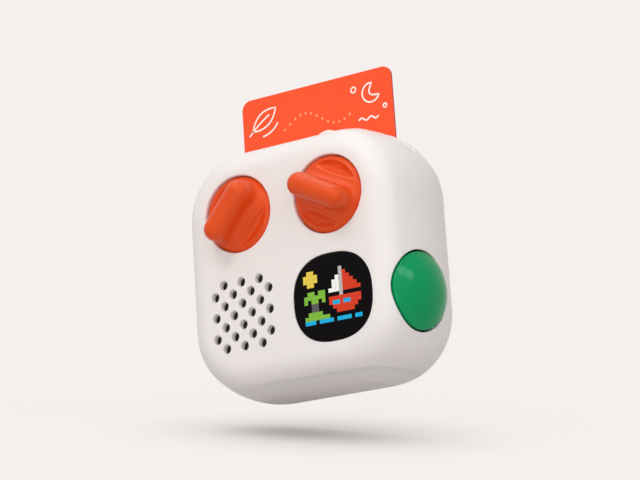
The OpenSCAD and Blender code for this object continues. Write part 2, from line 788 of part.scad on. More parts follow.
module power_switch() color([0.2, 0.2, 0.22]) on_side(switch_board_x) difference() {
    translate([-switch_w / 2, -switch_w / 2, 0]) cube([switch_w, switch_w, switch_t]);
    translate([0, 0, 0.05]) cylinder(r = plunger_r + plunger_play, h = 10);
}

module switch_board() color(board_green) on_side(switch_board_x - board_t) difference() {
    translate([-switch_board_w / 2, -switch_board_h / 2, 0])
        cube([switch_board_w, switch_board_h, board_t]);
    for (s = [-1, 1]) translate([s * switch_screw_z, 0, -1]) cylinder(r = small_hole_r, h = 9);
}

module switch_screws() color("silver") on_side(switch_board_x) for (s = [-1, 1])
    translate([s * switch_screw_z, 0, 0]) screw(small_r, board_t + bracket_t - 0.2, small_head_r, small_head_h);

// Inner chassis: the card's pocket, a plate across the housing and the boards' posts
module card_guide() color([0.86, 0.85, 0.83]) difference() {
    union() {
        intersection() {
            union() {
                span([-guide_half - guide_wall, guide_front, card_low - guide_wall],
                     [guide_half + guide_wall, guide_back, far]);
                span([-far, guide_front, card_low - guide_wall],
                     [far, guide_front + guide_wall, body_h - 9]);
                guide_posts() translate([0, 0, -guide_wall]) cylinder(r = guide_post_r, h = guide_wall);
            }
            form(wall + 0.4);
        }
        rear_posts(guide_back - 0.5) cylinder(r = rear_post_r, h = main_y - guide_back + 0.5);
        span([bracket_x - bracket_t, -button_y - switch_board_h / 2, button_z - switch_board_w / 2],
             [bracket_x, guide_front + guide_wall / 2, button_z + switch_board_w / 2]);
    }
    span([-guide_half, card_y - card_t / 2 - card_play, card_low],
         [guide_half, card_y + card_t / 2 + card_play, far]);
    span([side_x - 6.6, -far, button_z - button_r], [far, guide_back + 1, button_z + button_r]);
    span([-far, -far, half_h], [1 + lead_r - lead_pass_x, guide_back + 1, half_h + 9]);
    guide_posts() translate([0, 0, -5]) cylinder(r = screw_r + 0.15, h = 10);
    rear_posts(guide_back - 0.75) cylinder(r = pilot_r, h = 10);
    on_side(bracket_x - bracket_t - 1) for (s = [-1, 1]) translate([s * switch_screw_z, 0, 0])
        cylinder(r = small_pilot_r, h = 5);
}

module guide_screws() color("silver") guide_posts() translate([0, 0, -guide_wall])
    rotate([180, 0, 0]) screw(screw_r, guide_wall + thread_l, head_r, head_h);

module card_antenna() color([0.75, 0.5, 0.25]) on_back(0, guide_back, half_h) difference() {
    translate([-antenna_half, -antenna_half, 0]) cube([2 * antenna_half, 2 * antenna_half, antenna_t]);
    translate([4 - antenna_half, 4 - antenna_half, -1])
        cube([2 * antenna_half - 8, 2 * antenna_half - 8, 5]);
}

module ferrite_sheet() color([0.22, 0.22, 0.24])
    on_back(0, guide_back + antenna_t, half_h) translate([-antenna_half, -antenna_half, 0])
        cube([2 * antenna_half, 2 * antenna_half, ferrite_t]);

module story_card() color(card_orange) on_front(0, card_y + card_t / 2, card_low + card_l / 2)
    linear_extrude(card_t) {
        square([card_w - 2 * card_r, card_l], center = true);
        square([card_w, card_l - 2 * card_r], center = true);
        for (x = [-1, 1], z = [-1, 1])
            translate([x * (card_w / 2 - card_r), z * (card_l / 2 - card_r)]) circle(card_r);
    }

module main_board() color(board_green) difference() {
    span([-main_left, main_y, main_low], [main_right, main_back, main_high]);
    rear_posts(main_y - 1) cylinder(r = screw_r + 0.15, h = 5);
}

// A piece on the back of the main board, given by its middle and its width, height and thickness
module on_board(x, z, size) translate([x - size[0] / 2, main_back, z - size[1] / 2])
    cube([size[0], size[2], size[1]]);

module radio_module() color("silver") {
    on_board(radio_x, radio_z, radio_plate);
    on_board(radio_x, radio_z - 2.6, radio_can);
}

module board_chips() color([0.12, 0.12, 0.13]) {
    on_board(-chip_x, cell_z - 9.5, processor);
    on_board(-chip_x, main_low + 12, memory);
    on_board(right_chip_x, main_low + 21, charger);
    on_board(speaker_plug_x + 1, speaker_plug_z - 7.5, amplifier);
    on_board(right_chip_x, main_low + 13.5, choke);
}

module board_connectors() color("ivory") {
    on_board(battery_plug_x, battery_plug_z, battery_plug);
    on_board(speaker_plug_x, speaker_plug_z, speaker_plug);
    on_board(ribbon_plug_x, ribbon_plug_z, ribbon_plug);
}

module usb_socket() color("silver") translate([-usb_face, usb_y, usb_z]) rotate([90, 0, 90])
    rotate(90) difference() {
        linear_extrude(usb_l) stadium(usb_w, usb_h);
        translate([0, 0, -1]) linear_extrude(usb_l) difference() {
            stadium(usb_w - 0.6, usb_h - 0.6);
            square([6.7, 0.7], center = true);
        }
    }

module headphone_socket() color([0.15, 0.15, 0.16]) difference() {
    union() {
        span([-jack_body_x, main_back, jack_z - jack_w / 2],
             [-jack_face + jack_l + 1, main_back + jack_h, jack_z + jack_w / 2]);
        translate([-jack_face, jack_y, jack_z]) rotate([0, 90, 0]) cylinder(r = jack_nose_r, h = 6);
    }
    translate([-jack_face - 1, jack_y, jack_z]) rotate([0, 90, 0]) cylinder(r = jack_r, h = jack_l + 1);
}

// Tray with a lip round the cell and gaps for its leads
module battery_cradle() color([0.3, 0.3, 0.32]) difference() {
    on_board(0, cell_mid, [2 * cradle_half, cell_h + 2 * (cradle_t + cradle_play), cradle_t + 3]);
    translate([0, cradle_t, 0])
        on_board(0, cell_mid, [cell_w + 2 * cradle_play, cell_h + 2 * cradle_play, far]);
    translate([0, cradle_t + 0.6, 0]) on_board(0, cell_mid, [far, cell_h / 2, far]);
}

module battery_cell() color([0.7, 0.72, 0.75]) translate([0, cradle_t, 0])
    on_board(0, cell_mid, [cell_w, cell_h, cell_t]);

// A round lead swept along hand-set points with n sides
module lead(points, r, n = 8) {
    count = len(points);
    rings = [for (i = [0:count - 1])
        let (a = points[max(i - 1, 0)], b = points[min(i + 1, count - 1)],
             t = (b - a) / norm(b - a),
             u0 = cross(t, abs(t[2]) < 0.9 ? [0, 0, 1] : [1, 0, 0]),
             u = u0 / norm(u0), v = cross(t, u))
        for (k = [0:n - 1]) points[i] + r * (cos(360 * k / n) * u + sin(360 * k / n) * v)];
    sides = [for (i = [0:count - 2], k = [0:n - 1], m = [0, 1])
        let (a = i * n + k, b = i * n + (k + 1) % n)
            m == 0 ? [a, a + n, b + n] : [a, b + n, b]];
    polyhedron(rings, concat([[for (k = [0:n - 1]) k]], sides,
        [[for (k = [n - 1:-1:0]) (count - 1) * n + k]]));
}

module battery_leads() color("crimson") {
    x = cell_w / 2;
    y = main_back + cradle_t + cell_t - 1.1;
    lead([
        [x + 0.7, y, cell_mid], [x + 2.2, y, cell_mid + 0.2], [x + 3.8, y - 0.1, cell_mid - 0.2],
        [x + 5, y - 0.5, cell_mid - 1.6], [battery_plug_x - 0.5, main_back + 3.2, battery_plug_z + 6.2],
        [battery_plug_x, main_back + 2.2, battery_plug_z + 3.5]
    ], lead_r);
}

// From the back of the speaker through the guide's notch and round the main board's edge
module speaker_leads() color([0.15, 0.15, 0.15]) {
    x = -grille_x - speaker_r + 3.3;
    lead([
        [x, gasket_back + 4.9, grille_z], [x - 0.7, gasket_back + 5.1, grille_z + 2.3],
        [x - 2, gasket_back + 6.2, grille_z + 6.1], [1.8 - lead_pass_x, guide_front - 6.25, half_h - 2.4],
        [-lead_pass_x, guide_front - 1.25, half_h + 2.5], [-lead_pass_x, guide_front + 2.75, half_h + 6.5],
        [0.7 - lead_pass_x, main_back + 0.1, half_h + 10],
        [2.1 - lead_pass_x, main_back + 1.7, speaker_plug_z - 2.5],
        [4.2 - lead_pass_x, main_back + 1.8, speaker_plug_z]
    ], lead_r);
}

// A flat cable as wide as w, bent along points in the YZ plane
module flat_cable(x, w, points) {
    last = len(points) - 1;
    off = [for (i = [0:last])
        let (d = points[min(i + 1, last)] - points[max(i - 1, 0)])
            points[i] + cable_t * [-d[1], d[0]] / norm(d)];
    color([0.8, 0.6, 0.3]) translate([x - w / 2, 0, 0]) rotate([90, 0, 90])
        linear_extrude(w) polygon(concat(points, [for (i = [last:-1:0]) off[i]]));
}

module display_cable() flat_cable(ribbon_plug_x, ribbon_plug[0] - 2, [
    [clamp_back, display_z - 7.2], [clamp_back, display_z - 15.2], [clamp_back + 1, floor_z + 2.6],
    [clamp_back + 3, floor_z + 1.6], [guide_back, floor_z + 1.6], [main_back - 0.5, floor_z + 2.2],
    [main_back + 0.2, floor_z + 3.2], [main_back + 0.2, ribbon_plug_z - ribbon_plug[1] / 2]
]);
module control_cable() flat_cable(ribbon_plug[0], ribbon_plug[0], [
    [encoder_back + board_t, knob_z - 4],
    [encoder_back + board_t, cable_top + 0.3 * (cable_low - cable_top)],
    [encoder_back + 0.2, cable_top + 0.5 * (cable_low - cable_top)],
    [clamp_back + 0.6, cable_top + 0.82 * (cable_low - cable_top)],
    [clamp_back, cable_low], [clamp_back, cable_low - 2.6]
]);

main_shell();
rear_cover();
base_cover();
base_foot();
rear_screws();
base_screws();
grille_cloth();
speaker_gasket();
speaker_basket();
speaker_surround();
speaker_cone();
speaker_coil();
speaker_magnet();
speaker_screws();
display_window();
light_grid();
led_matrix();
display_clamp();
display_screws();
left_knob();
right_knob();
left_shaft();
right_shaft();
left_encoder();
right_encoder();
left_push_plate();
right_push_plate();
control_board();
control_screws();
power_button();
switch_plunger();
power_switch();
switch_board();
switch_screws();
card_guide();
guide_screws();
card_antenna();
ferrite_sheet();
story_card();
main_board();
radio_module();
board_chips();
board_connectors();
usb_socket();
headphone_socket();
battery_cell();
battery_cradle();
battery_leads();
speaker_leads();
display_cable();
control_cable();
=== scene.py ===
import json
import math

import bmesh
import bpy
import numpy as np
from mathutils import Matrix, Vector


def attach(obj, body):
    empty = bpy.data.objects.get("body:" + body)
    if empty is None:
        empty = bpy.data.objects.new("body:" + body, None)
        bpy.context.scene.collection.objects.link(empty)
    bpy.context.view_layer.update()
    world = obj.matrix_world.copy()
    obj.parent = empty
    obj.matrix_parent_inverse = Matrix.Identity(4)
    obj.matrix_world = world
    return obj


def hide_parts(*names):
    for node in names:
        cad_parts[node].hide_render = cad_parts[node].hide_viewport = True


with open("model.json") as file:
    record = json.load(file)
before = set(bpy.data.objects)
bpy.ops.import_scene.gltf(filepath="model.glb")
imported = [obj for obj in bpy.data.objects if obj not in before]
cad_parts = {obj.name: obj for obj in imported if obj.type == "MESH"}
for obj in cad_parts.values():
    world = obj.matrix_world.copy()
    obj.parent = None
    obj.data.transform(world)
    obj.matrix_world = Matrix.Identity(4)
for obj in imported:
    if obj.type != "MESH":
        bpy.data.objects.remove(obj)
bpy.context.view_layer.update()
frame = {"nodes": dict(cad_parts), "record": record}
MM = 0.001

# ---------------------------------------------------------------- sizes, in mm
# x to the right, y to the back, z up, from the middle of the base
BODY_W, BODY_H, BODY_D, WALL = 76.0, 76.0, 36.8, 2.0
FRONT_Y, MID_Z = -BODY_D / 2, BODY_H / 2
FORWARD = (0, -1, 0)
# radii of the corners seen from the front, of the edges round front and back, and of the crowned rim
CORNER_R, EDGE_R, CROWN_R = 21.5, 8.0, 41.0
# middles of the corner, crown and edge arcs, and the angle at which the edge meets the crown
ARM = BODY_W / 2 - CORNER_R
BLEND = math.asin((BODY_D / 2 - EDGE_R) / (CROWN_R - EDGE_R))
CROWN_C = CORNER_R - CROWN_R
EDGE_C = CROWN_C + (CROWN_R - EDGE_R) * math.cos(BLEND)
EDGE_Y = BODY_D / 2 - EDGE_R
BASE_SEAM, REAR_SEAM_Y, SEAM_ROUND = 3.2, 15.0, 0.16
# how far cutters reach: past the sides, above the top and below the base
PAST, ABOVE, BELOW = 60.0, 90.0, -5.0

# knobs: place, radii of the disc and of its crest, and heights above the panel of the grip's top, of the
# cap's back and of the point that its rays start from
KNOB_X, KNOB_Z, KNOB_R, CREST_R = 15.75, 54.3, 11.3, 9.9
KNOB_H, KNOB_SEAT, KNOB_ROOT = 8.8, -2.0, -14.0
# how far the right end of each grip is turned up from level, in degrees
KNOB_TURNS = {"left": 48.0, "right": -27.5}
# the grip bar's half width, the crowned face along it, the hollows beside it and the shoulder outside
GRIP_HALF, DOME_H, FACE_HALF, FACE_H, FACE_SLOPE = 3.5, 1.6, 5.9, 1.1, 1.8
HOLLOW_D, HOLLOW_SLOPE, SHOULDER_SLOPE, SHOULDER_BEND = 0.9, 0.8, 0.55, 0.12
# widths over which these forms flow into each other
FACE_BLEND, HOLLOW_BLEND, TOP_BLEND, SHOULDER_BLEND, RIM_BLEND, GRIP_BLEND = 0.6, 0.9, 1.4, 0.35, 0.3, 2.0
# the well round a knob and the boss behind it, whose ends are measured forward from the middle of the body
WELL_R, WELL_D, WELL_ROUND, BOSS_R, BOSS_BACK, BOSS_FRONT = 11.55, 2.9, 0.5, 13.0, 13.9, 17.0
BUSHING_R, BUSHING_D, BUSHING_FRONT = 3.65, 8.0, 2.0

# grille: every other spot of a square field of holes, which narrow a little to the back
GRILLE_X, GRILLE_Z, HOLE_STEP, HOLE_REACH = -15.9, 24.32, 3.16, 3
HOLE_R, HOLE_D, HOLE_ROUND, HOLE_DRAFT = 1.40, 6.0, 0.32, 0.12

# display: a window between square and round, and the lit cells of its picture
DISPLAY_X, DISPLAY_Z, DISPLAY_W, DISPLAY_H, SQUIRCLE = 15.4, 24.168, 26.4, 25.3, 2.45
DISPLAY_GAP, DISPLAY_D, DISPLAY_ROUND, LENS_T, LENS_EDGE = 0.15, 8.0, 0.25, 1.2, 0.2
PIXELS, PIXEL_STEP, PIXEL_GAP, PIXEL_PROUD, PIXEL_DEPTH = 16, 1.2, 0.024, 0.015, 0.1

# power button: it leans a little to the front and down, and its dome is part of a ball
BUTTON_AT, BUTTON_WAY = (20.0, 0.05, 27.41), (0.941, -0.282, -0.188)
BUTTON_R, BUTTON_GAP, BUTTON_BACK, BUTTON_PROUD = 11.17, 0.65, 33.0, 0.1
BUTTON_HOLE_FROM, BUTTON_HOLE_TO = 10.6, 32.0
DOME_AT, DOME_R, DOME_BLEND, BUTTON_BLEND = (22.084, -1.662, 25.474), 18.56, 0.5, 0.35

# card, front and back of its raised print, the slot and the recess in front of the slot
CARD_Y, CARD_T, CARD_W, CARD_LOW, CARD_L, CARD_R, CARD_ROUND = 3.95, 0.76, 54.0, 10.0, 85.6, 3.18, 0.14
PRINT_FRONT, PRINT_BACK = CARD_Y - CARD_T / 2 - 0.02, CARD_Y - CARD_T / 2 + 0.05
SLOT_HALF, SLOT_T, SLOT_LOW = 27.5, 1.4, 60.0
RECESS_D, RECESS_FRONT, RECESS_BACK, RECESS_LOW, RECESS_R = 0.35, -8.5, 3.2, 66.8, 3.0

# openings in the left side, screw pockets in the back and the foot
JACK_Y, JACK_Z, JACK_R = 10.9, 24.0, 2.85
USB_Y, USB_Z, USB_L, USB_W = 10.05, 37.0, 9.7, 3.8
SIDE_OUT, SIDE_IN = -42.0, -30.0
REAR_SCREW_X, REAR_SCREW_Z, POCKET_R, POCKET_D, POCKET_ROUND = 21.5, 24.0, 2.3, 2.2, 0.2
FOOT_L, FOOT_W, FOOT_TOP, FOOT_GAP, FOOT_ROUND, FOOT_PAST = 40.0, 14.0, 0.9, 0.1, 0.1, -2.0

# a vertex nearer than this to an exact surface takes that surface's normal
ON_SURFACE = 0.04
# unit vectors look much the same way when their product is above this
SAME_WAY = 0.9
# edges sharper than this, in degrees, are rounded, once vertices nearer than MERGE have been joined
SHARP, MERGE = 40.0, 0.02


# ---------------------------------------------------------------- mesh helpers
def new_object(name, verts, faces, scale=MM):
    """An object with a mesh, whose points are given in mm unless another scale is."""
    mesh = bpy.data.meshes.new(name)
    mesh.from_pydata([tuple(float(c) * scale for c in v) for v in verts], [], [list(f) for f in faces])
    mesh.validate()
    return add_object(name, mesh)


def add_object(name, data):
    """An object with the given data, put in the scene."""
    obj = bpy.data.objects.new(name, data)
    bpy.context.scene.collection.objects.link(obj)
    return obj


def boolean(target, tool, operation="DIFFERENCE"):
    """Applies a boolean to the target's mesh and removes the tool."""
    mod = target.modifiers.new("boolean", "BOOLEAN")
    mod.operation, mod.object, mod.solver = operation, tool, "MANIFOLD"
    bpy.context.view_layer.update()
    shown = target.evaluated_get(bpy.context.evaluated_depsgraph_get())
    mesh = bpy.data.meshes.new_from_object(shown)
    target.modifiers.clear()
    old, target.data = target.data, mesh
    bpy.data.meshes.remove(old)
    bpy.data.objects.remove(tool)
    return target


def join(objects, name):
    """One object with the meshes of several, which are removed."""
    verts, faces = [], []
    for o in objects:
        start = len(verts)
        verts += [tuple(v.co) for v in o.data.vertices]
        faces += [[i + start for i in p.vertices] for p in o.data.polygons]
        bpy.data.objects.remove(o)
    return new_object(name, verts, faces, scale=1)


def frame_axes(axis):
    """Two axes square to the given one, and its own unit vector."""
    a = Vector(axis).normalized()
    u = a.orthogonal().normalized()
    if abs(a.y) > SAME_WAY:
        u = Vector((1, 0, 0))
    elif abs(a.x) > SAME_WAY:
        u = Vector((0, 1, 0))
    u = (u - a * u.dot(a)).normalized()
    return u, a.cross(u), a


def turn_points(n):
    """n angles evenly round a full turn."""
    return [2 * math.pi * i / n for i in range(n)]


def outward(obj):
    """Makes all faces of a closed mesh look outward."""
    bm = bmesh.new()
    bm.from_mesh(obj.data)
    bmesh.ops.recalc_face_normals(bm, faces=bm.faces)
    if bm.calc_volume(signed=True) < 0:
        bmesh.ops.reverse_faces(bm, faces=bm.faces)
    bm.to_mesh(obj.data)
    bm.free()
    return obj


def loft(name, rings):
    """Closed solid through rings of equal length, the first and last one capped."""
    n = len(rings[0])
    verts = [p for ring in rings for p in ring]
    faces = [list(range(n))[::-1]]
    for k in range(len(rings) - 1):
        for i in range(n):
            j = (i + 1) % n
            faces.append([k * n + i, k * n + j, (k + 1) * n + j, (k + 1) * n + i])
    faces.append([(len(rings) - 1) * n + i for i in range(n)])
    return new_object(name, verts, faces)


def revolve(name, origin, axis, profile, n):
    """Solid of revolution; profile is a list of (radius, height along the axis)."""
    u, v, a = frame_axes(axis)
    o = Vector(origin)
    return loft(name, [[o + a * h + (u * math.cos(t) + v * math.sin(t)) * r for t in turn_points(n)]
                       for r, h in profile])


def flare(r, depth, fillet, top=2.0, steps=5, lift=0.003, draft=0.0):
    """Cutter profile, as (radius, height), for an opening whose mouth is rounded by a fillet. The fillet ends
    a little above the face, so that no thin ring of it is left."""
    out = [(r - draft, -depth), (r, -fillet + lift)]
    for i in range(1, steps + 1):
        t = math.pi / 2 * i / steps
        out.append((r + fillet - fillet * math.cos(t), -fillet + fillet * math.sin(t) + lift))
    return out + [(r + fillet, top)]


def box(name, low, high):
    """Box between its lowest and highest corners."""
    (x0, y0, z0), (x1, y1, z1) = low, high
    verts = [(x, y, z) for z in (z0, z1) for y in (y0, y1) for x in (x0, x1)]
    faces = [[0, 2, 3, 1], [4, 5, 7, 6], [0, 1, 5, 4], [1, 3, 7, 5], [3, 2, 6, 7], [2, 0, 4, 6]]
    return new_object(name, verts, faces)


def soften(obj, width):
    """Rounds the sharp edges of a mesh."""
    bm = bmesh.new()
    bm.from_mesh(obj.data)
    bmesh.ops.remove_doubles(bm, verts=bm.verts, dist=MERGE * MM)
    bmesh.ops.dissolve_degenerate(bm, edges=bm.edges, dist=MERGE * MM)
    sharp = [e for e in bm.edges if len(e.link_faces) == 2 and e.calc_face_angle(0) > math.radians(SHARP)]
    bmesh.ops.bevel(bm, geom=sharp, offset=width * MM, segments=2, profile=0.5, affect="EDGES",
                    clamp_overlap=True)
    bm.to_mesh(obj.data)
    bm.free()


def give_normals(mesh, normals):
    """Shades a mesh smoothly with one given normal for each corner of a face."""
    mesh.polygons.foreach_set("use_smooth", [True] * len(mesh.polygons))
    mesh.normals_split_custom_set(normals.tolist())


def loop_vertices(mesh):
    """The vertex at each corner of the faces."""
    out = np.empty(len(mesh.loops), int)
    mesh.loops.foreach_get("vertex_index", out)
    return out


def set_normals(obj, fields=(), angle=38.0):
    """Smooth custom normals: exact ones on the given fields, else faces joined up to an angle, by area."""
    mesh = obj.data
    co = np.empty(len(mesh.vertices) * 3)
    mesh.vertices.foreach_get("co", co)
    co = co.reshape(-1, 3)
    vertex_of = loop_vertices(mesh)
    face_normal = np.array([p.normal[:] for p in mesh.polygons])
    face_area = np.array([p.area for p in mesh.polygons])
    face_of = np.repeat(np.arange(len(mesh.polygons)), [p.loop_total for p in mesh.polygons])
    order = np.argsort(vertex_of, kind="stable")
    first = np.searchsorted(vertex_of[order], np.arange(len(co) + 1))
    limit = math.cos(math.radians(angle))
    out = np.zeros((len(vertex_of), 3))
    for start, end in zip(first[:-1], first[1:]):
        loops = order[start:end]
        f = face_of[loops]
        near = (face_normal[f] @ face_normal[f].T) > limit
        out[loops] = near @ (face_normal[f] * face_area[f][:, None])
    out /= np.maximum(np.linalg.norm(out, axis=1), 1e-12)[:, None]
    for field in fields:
        distance, normal = field(co / MM)
        normal = normal[vertex_of]
        facing = np.einsum("ij,ij->i", normal, face_normal[face_of])
        on = (np.abs(distance) < ON_SURFACE)[vertex_of] & (facing > SAME_WAY)
        out[on] = normal[on]
    give_normals(mesh, out)
    mesh.update()


# ---------------------------------------------------------------- the body's form
def rim_profile(inset, edge_n, crown_n):
    """Edge arc, crown arc, edge arc: (distance from the corner axis, depth)."""
    edge_r, crown_r = EDGE_R - inset, CROWN_R - inset
    out = []
    for i in range(edge_n + 1):
        a = -math.pi / 2 + (math.pi / 2 - BLEND) * i / edge_n
        out.append((EDGE_C + edge_r * math.cos(a), -EDGE_Y + edge_r * math.sin(a)))
    for i in range(1, crown_n):
        a = BLEND * (2 * i / crown_n - 1)
        out.append((CROWN_C + crown_r * math.cos(a), crown_r * math.sin(a)))
    for i in range(edge_n + 1):
        a = BLEND + (math.pi / 2 - BLEND) * i / edge_n
        out.append((EDGE_C + edge_r * math.cos(a), EDGE_Y + edge_r * math.sin(a)))
    return out


def corner_points(half_w, half_h, n, radius):
    """Points round a rectangle with round corners, given by the places of its corners' centres."""
    return [(sx * half_w + radius * math.cos(a), sz * half_h + radius * math.sin(a))
            for k, (sx, sz) in enumerate(((1, 1), (-1, 1), (-1, -1), (1, -1)))
            for a in (math.pi / 2 * (k + i / n) for i in range(n + 1))]


def form(name, inset=0.0, corner_n=32, edge_n=14, crown_n=12):
    """The body's whole outer form, or the same moved inward."""
    return outward(loft(name, [[(x, y, MID_Z + z) for x, z in corner_points(ARM, ARM, corner_n, d)]
                               for d, y in rim_profile(inset, edge_n, crown_n)]))


def form_field(p, inset=0.0):
    """Signed distance to the body's form and its direction, for points in mm."""
    qx = np.maximum(np.abs(p[:, 0]) - ARM, 0)
    qz = np.maximum(np.abs(p[:, 2] - MID_Z) - ARM, 0)
    rho = np.hypot(qx, qz)
    safe = np.maximum(rho, 1e-9)
    ex = qx / safe * np.sign(p[:, 0])
    ez = qz / safe * np.sign(p[:, 2] - MID_Z)
    y = p[:, 1]
    side = np.where(y < 0, -1.0, 1.0)
    dist = np.abs(y) - (BODY_D / 2 - inset)
    n_r, n_y = np.zeros_like(y), side.copy()
    slant = np.arctan2(np.abs(y), rho - CROWN_C)
    edge = (rho > EDGE_C) & (slant >= BLEND)
    er, ey = rho - EDGE_C, y - side * EDGE_Y
    length = np.maximum(np.hypot(er, ey), 1e-9)
    dist = np.where(edge, length - (EDGE_R - inset), dist)
    n_r, n_y = np.where(edge, er / length, n_r), np.where(edge, ey / length, n_y)
    crown = slant < BLEND
    length = np.hypot(rho - CROWN_C, y)
    dist = np.where(crown, length - (CROWN_R - inset), dist)
    n_r, n_y = np.where(crown, (rho - CROWN_C) / length, n_r), np.where(crown, y / length, n_y)
    return dist, np.stack([n_r * ex, n_y, n_r * ez], 1)


# ---------------------------------------------------------------- materials
def srgb(r, g, b):
    """A colour given in levels of 255, as linear values."""
    def linear(c):
        c /= 255
        return c / 12.92 if c <= 0.04045 else ((c + 0.055) / 1.055) ** 2.4
    return (linear(r), linear(g), linear(b), 1.0)


def scaled(colour, share):
    """A colour made darker or brighter, each part up to 1."""
    return tuple(min(1, c * share) for c in colour[:3]) + (1,)


def add_node(tree, kind, *ordered, **values):
    """Adds a shader node: ordered values go to its inputs in turn, capitalised ones to inputs by name, and
    the rest are the node's own settings. A value for an input may be another node's output."""
    made = tree.nodes.new("ShaderNode" + kind)
    for key in [k for k in values if k[0].islower()]:
        setattr(made, key, values.pop(key))
    sockets = list(made.inputs)[:len(ordered)] + [made.inputs[k.replace("_", " ")] for k in values]
    for socket, value in zip(sockets, ordered + tuple(values.values())):
        if isinstance(value, bpy.types.NodeSocket):
            tree.links.new(value, socket)
        else:
            socket.default_value = value
    return made


def math_of(tree, operation, *values):
    """The result of a math node."""
    return add_node(tree, "Math", *values, operation=operation).outputs[0]


# every finish by its name, which for a CAD piece is its material slot
FINISH = {}


def material(name, colour, rough, metallic=0.0, tone=0.03, tone_scale=60.0, grain=0.0, grain_scale=2500.0,
             rough_var=0.06, coat=0.0, subsurface=0.0, emission=0.0, specular=0.5, sheen=0.0,
             pattern=None, tint=None):
    """Principled material with procedural tone, gloss and surface grain."""
    mat = FINISH[name] = bpy.data.materials.new(name)
    mat.use_nodes = True
    tree = mat.node_tree
    shader = tree.nodes["Principled BSDF"]
    constant = {"Metallic": metallic, "Coat Weight": coat, "Coat Roughness": 0.1, "Sheen Weight": sheen,
                "Subsurface Weight": subsurface, "Specular IOR Level": specular}
    if subsurface:
        constant.update({"Subsurface Radius": (1.0, 0.9, 0.8), "Subsurface Scale": 0.0015})
    if tint:
        constant["Specular Tint"] = tint + (1,)
    if emission:
        constant["Emission Strength"] = emission
    for socket, value in constant.items():
        shader.inputs[socket].default_value = value

    coord = add_node(tree, "TexCoord").outputs["Object"]
    cloud = add_node(tree, "TexNoise", Vector=coord, Scale=tone_scale, Detail=4.0).outputs["Fac"]
    shade = add_node(tree, "Mix", data_type="RGBA", Factor=cloud, A=scaled(colour, 1 - tone),
                     B=scaled(colour, 1 + tone)).outputs["Result"]
    if pattern:
        shade = pattern(tree, coord, shade)
    tree.links.new(shade, shader.inputs["Base Color"])
    if emission:
        tree.links.new(shade, shader.inputs["Emission Color"])
    gloss = add_node(tree, "MapRange", Value=cloud, To_Min=max(0.0, rough - rough_var),
                     To_Max=min(1.0, rough + rough_var))
    tree.links.new(gloss.outputs["Result"], shader.inputs["Roughness"])
    if grain:
        fine = add_node(tree, "TexNoise", Vector=coord, Scale=grain_scale, Detail=3.0)
        bump = add_node(tree, "Bump", Height=fine.outputs["Fac"], Strength=grain, Distance=0.0001)
        tree.links.new(bump.outputs["Normal"], shader.inputs["Normal"])
    return mat


def weave(step, dark):
    """Open woven cloth: crossed threads with holes between them."""
    def pattern(tree, coord, shade):
        split = add_node(tree, "SeparateXYZ", coord)
        per_metre = 2 * math.pi / (step * MM)
        waves = [math_of(tree, "SINE", math_of(tree, "MULTIPLY", split.outputs[axis], per_metre))
                 for axis in ("X", "Z")]
        threads = math_of(tree, "MAXIMUM", *waves)
        return add_node(tree, "Mix", data_type="RGBA", Factor=threads, A=dark, B=shade).outputs["Result"]
    return pattern


WHITE = material("shell_white", srgb(243, 237, 234), 0.42, tone=0.006, grain=0.05, grain_scale=2600,
                 rough_var=0.03, subsurface=0.35, specular=0.28)
ORANGE = material("knob_orange", srgb(228, 74, 16), 0.4, tone=0.02, grain=0.04, grain_scale=2200,
                  rough_var=0.03, specular=0.45, tint=(1.0, 0.8, 0.6))
GREEN = material("button_green", srgb(0, 152, 90), 0.15, tone=0.02, grain=0.03, grain_scale=2200,
                 rough_var=0.03, specular=0.18, tint=(0.7, 1.0, 0.9))
CARD = material("card_orange", srgb(255, 90, 50), 0.5, tone=0.01, grain=0.05, grain_scale=5000,
                rough_var=0.04, specular=0.15)
# the card's edge faces: a darker red that is painted shade for the dark line along the card's rim
EDGE_SHADE = material("card_edge", srgb(196, 62, 70), 0.6, tone=0.03)
PRINT = material("card_print", srgb(255, 246, 240), 0.45, tone=0.01)
BEADS = material("card_beads", srgb(255, 160, 112), 0.45, tone=0.01)
FOOT = material("foot_rubber", srgb(240, 234, 231), 0.6, tone=0.01, grain=0.2, grain_scale=1500)
material("screw_steel", srgb(168, 168, 172), 0.28, metallic=1.0, tone=0.05, tone_scale=400,
         rough_var=0.1)
material("grille_cloth", srgb(58, 52, 50), 0.9, tone=0.1, pattern=weave(0.32, srgb(18, 16, 16)),
         sheen=0.2)
GLASS = material("display_black", srgb(12, 9, 12), 0.16, tone=0.1, rough_var=0.02, specular=0.05)

# finishes of the pieces inside
material("gasket_foam", srgb(46, 46, 48), 0.95, tone=0.2, tone_scale=900, grain=0.8)
material("basket_grey", srgb(92, 93, 96), 0.4, metallic=0.8, tone=0.06, rough_var=0.1)
material("surround_rubber", srgb(28, 28, 29), 0.6, tone=0.1, grain=0.2)
material("cone_paper", srgb(52, 50, 50), 0.85, tone=0.2, tone_scale=1200, grain=0.6)
material("coil_copper", srgb(196, 116, 62), 0.3, metallic=1.0, tone=0.12, tone_scale=2000)
material("magnet_steel", srgb(150, 151, 155), 0.25, metallic=1.0, tone=0.06)
material("grid_white", srgb(228, 228, 226), 0.6, tone=0.03)
material("board_green", srgb(24, 92, 62), 0.35, tone=0.15, tone_scale=350, coat=0.4)
material("clamp_grey", srgb(74, 75, 80), 0.5, tone=0.06, grain=0.2)
material("shaft_steel", srgb(178, 179, 183), 0.2, metallic=1.0, tone=0.05)
material("encoder_metal", srgb(160, 161, 164), 0.35, metallic=0.9, tone=0.08)
material("contact_brass", srgb(196, 162, 86), 0.25, metallic=1.0, tone=0.06)
material("plunger_ivory", srgb(232, 224, 198), 0.45, tone=0.03)
material("switch_black", srgb(34, 34, 37), 0.5, tone=0.1, grain=0.2)
material("guide_grey", srgb(216, 214, 210), 0.5, tone=0.03, grain=0.15)
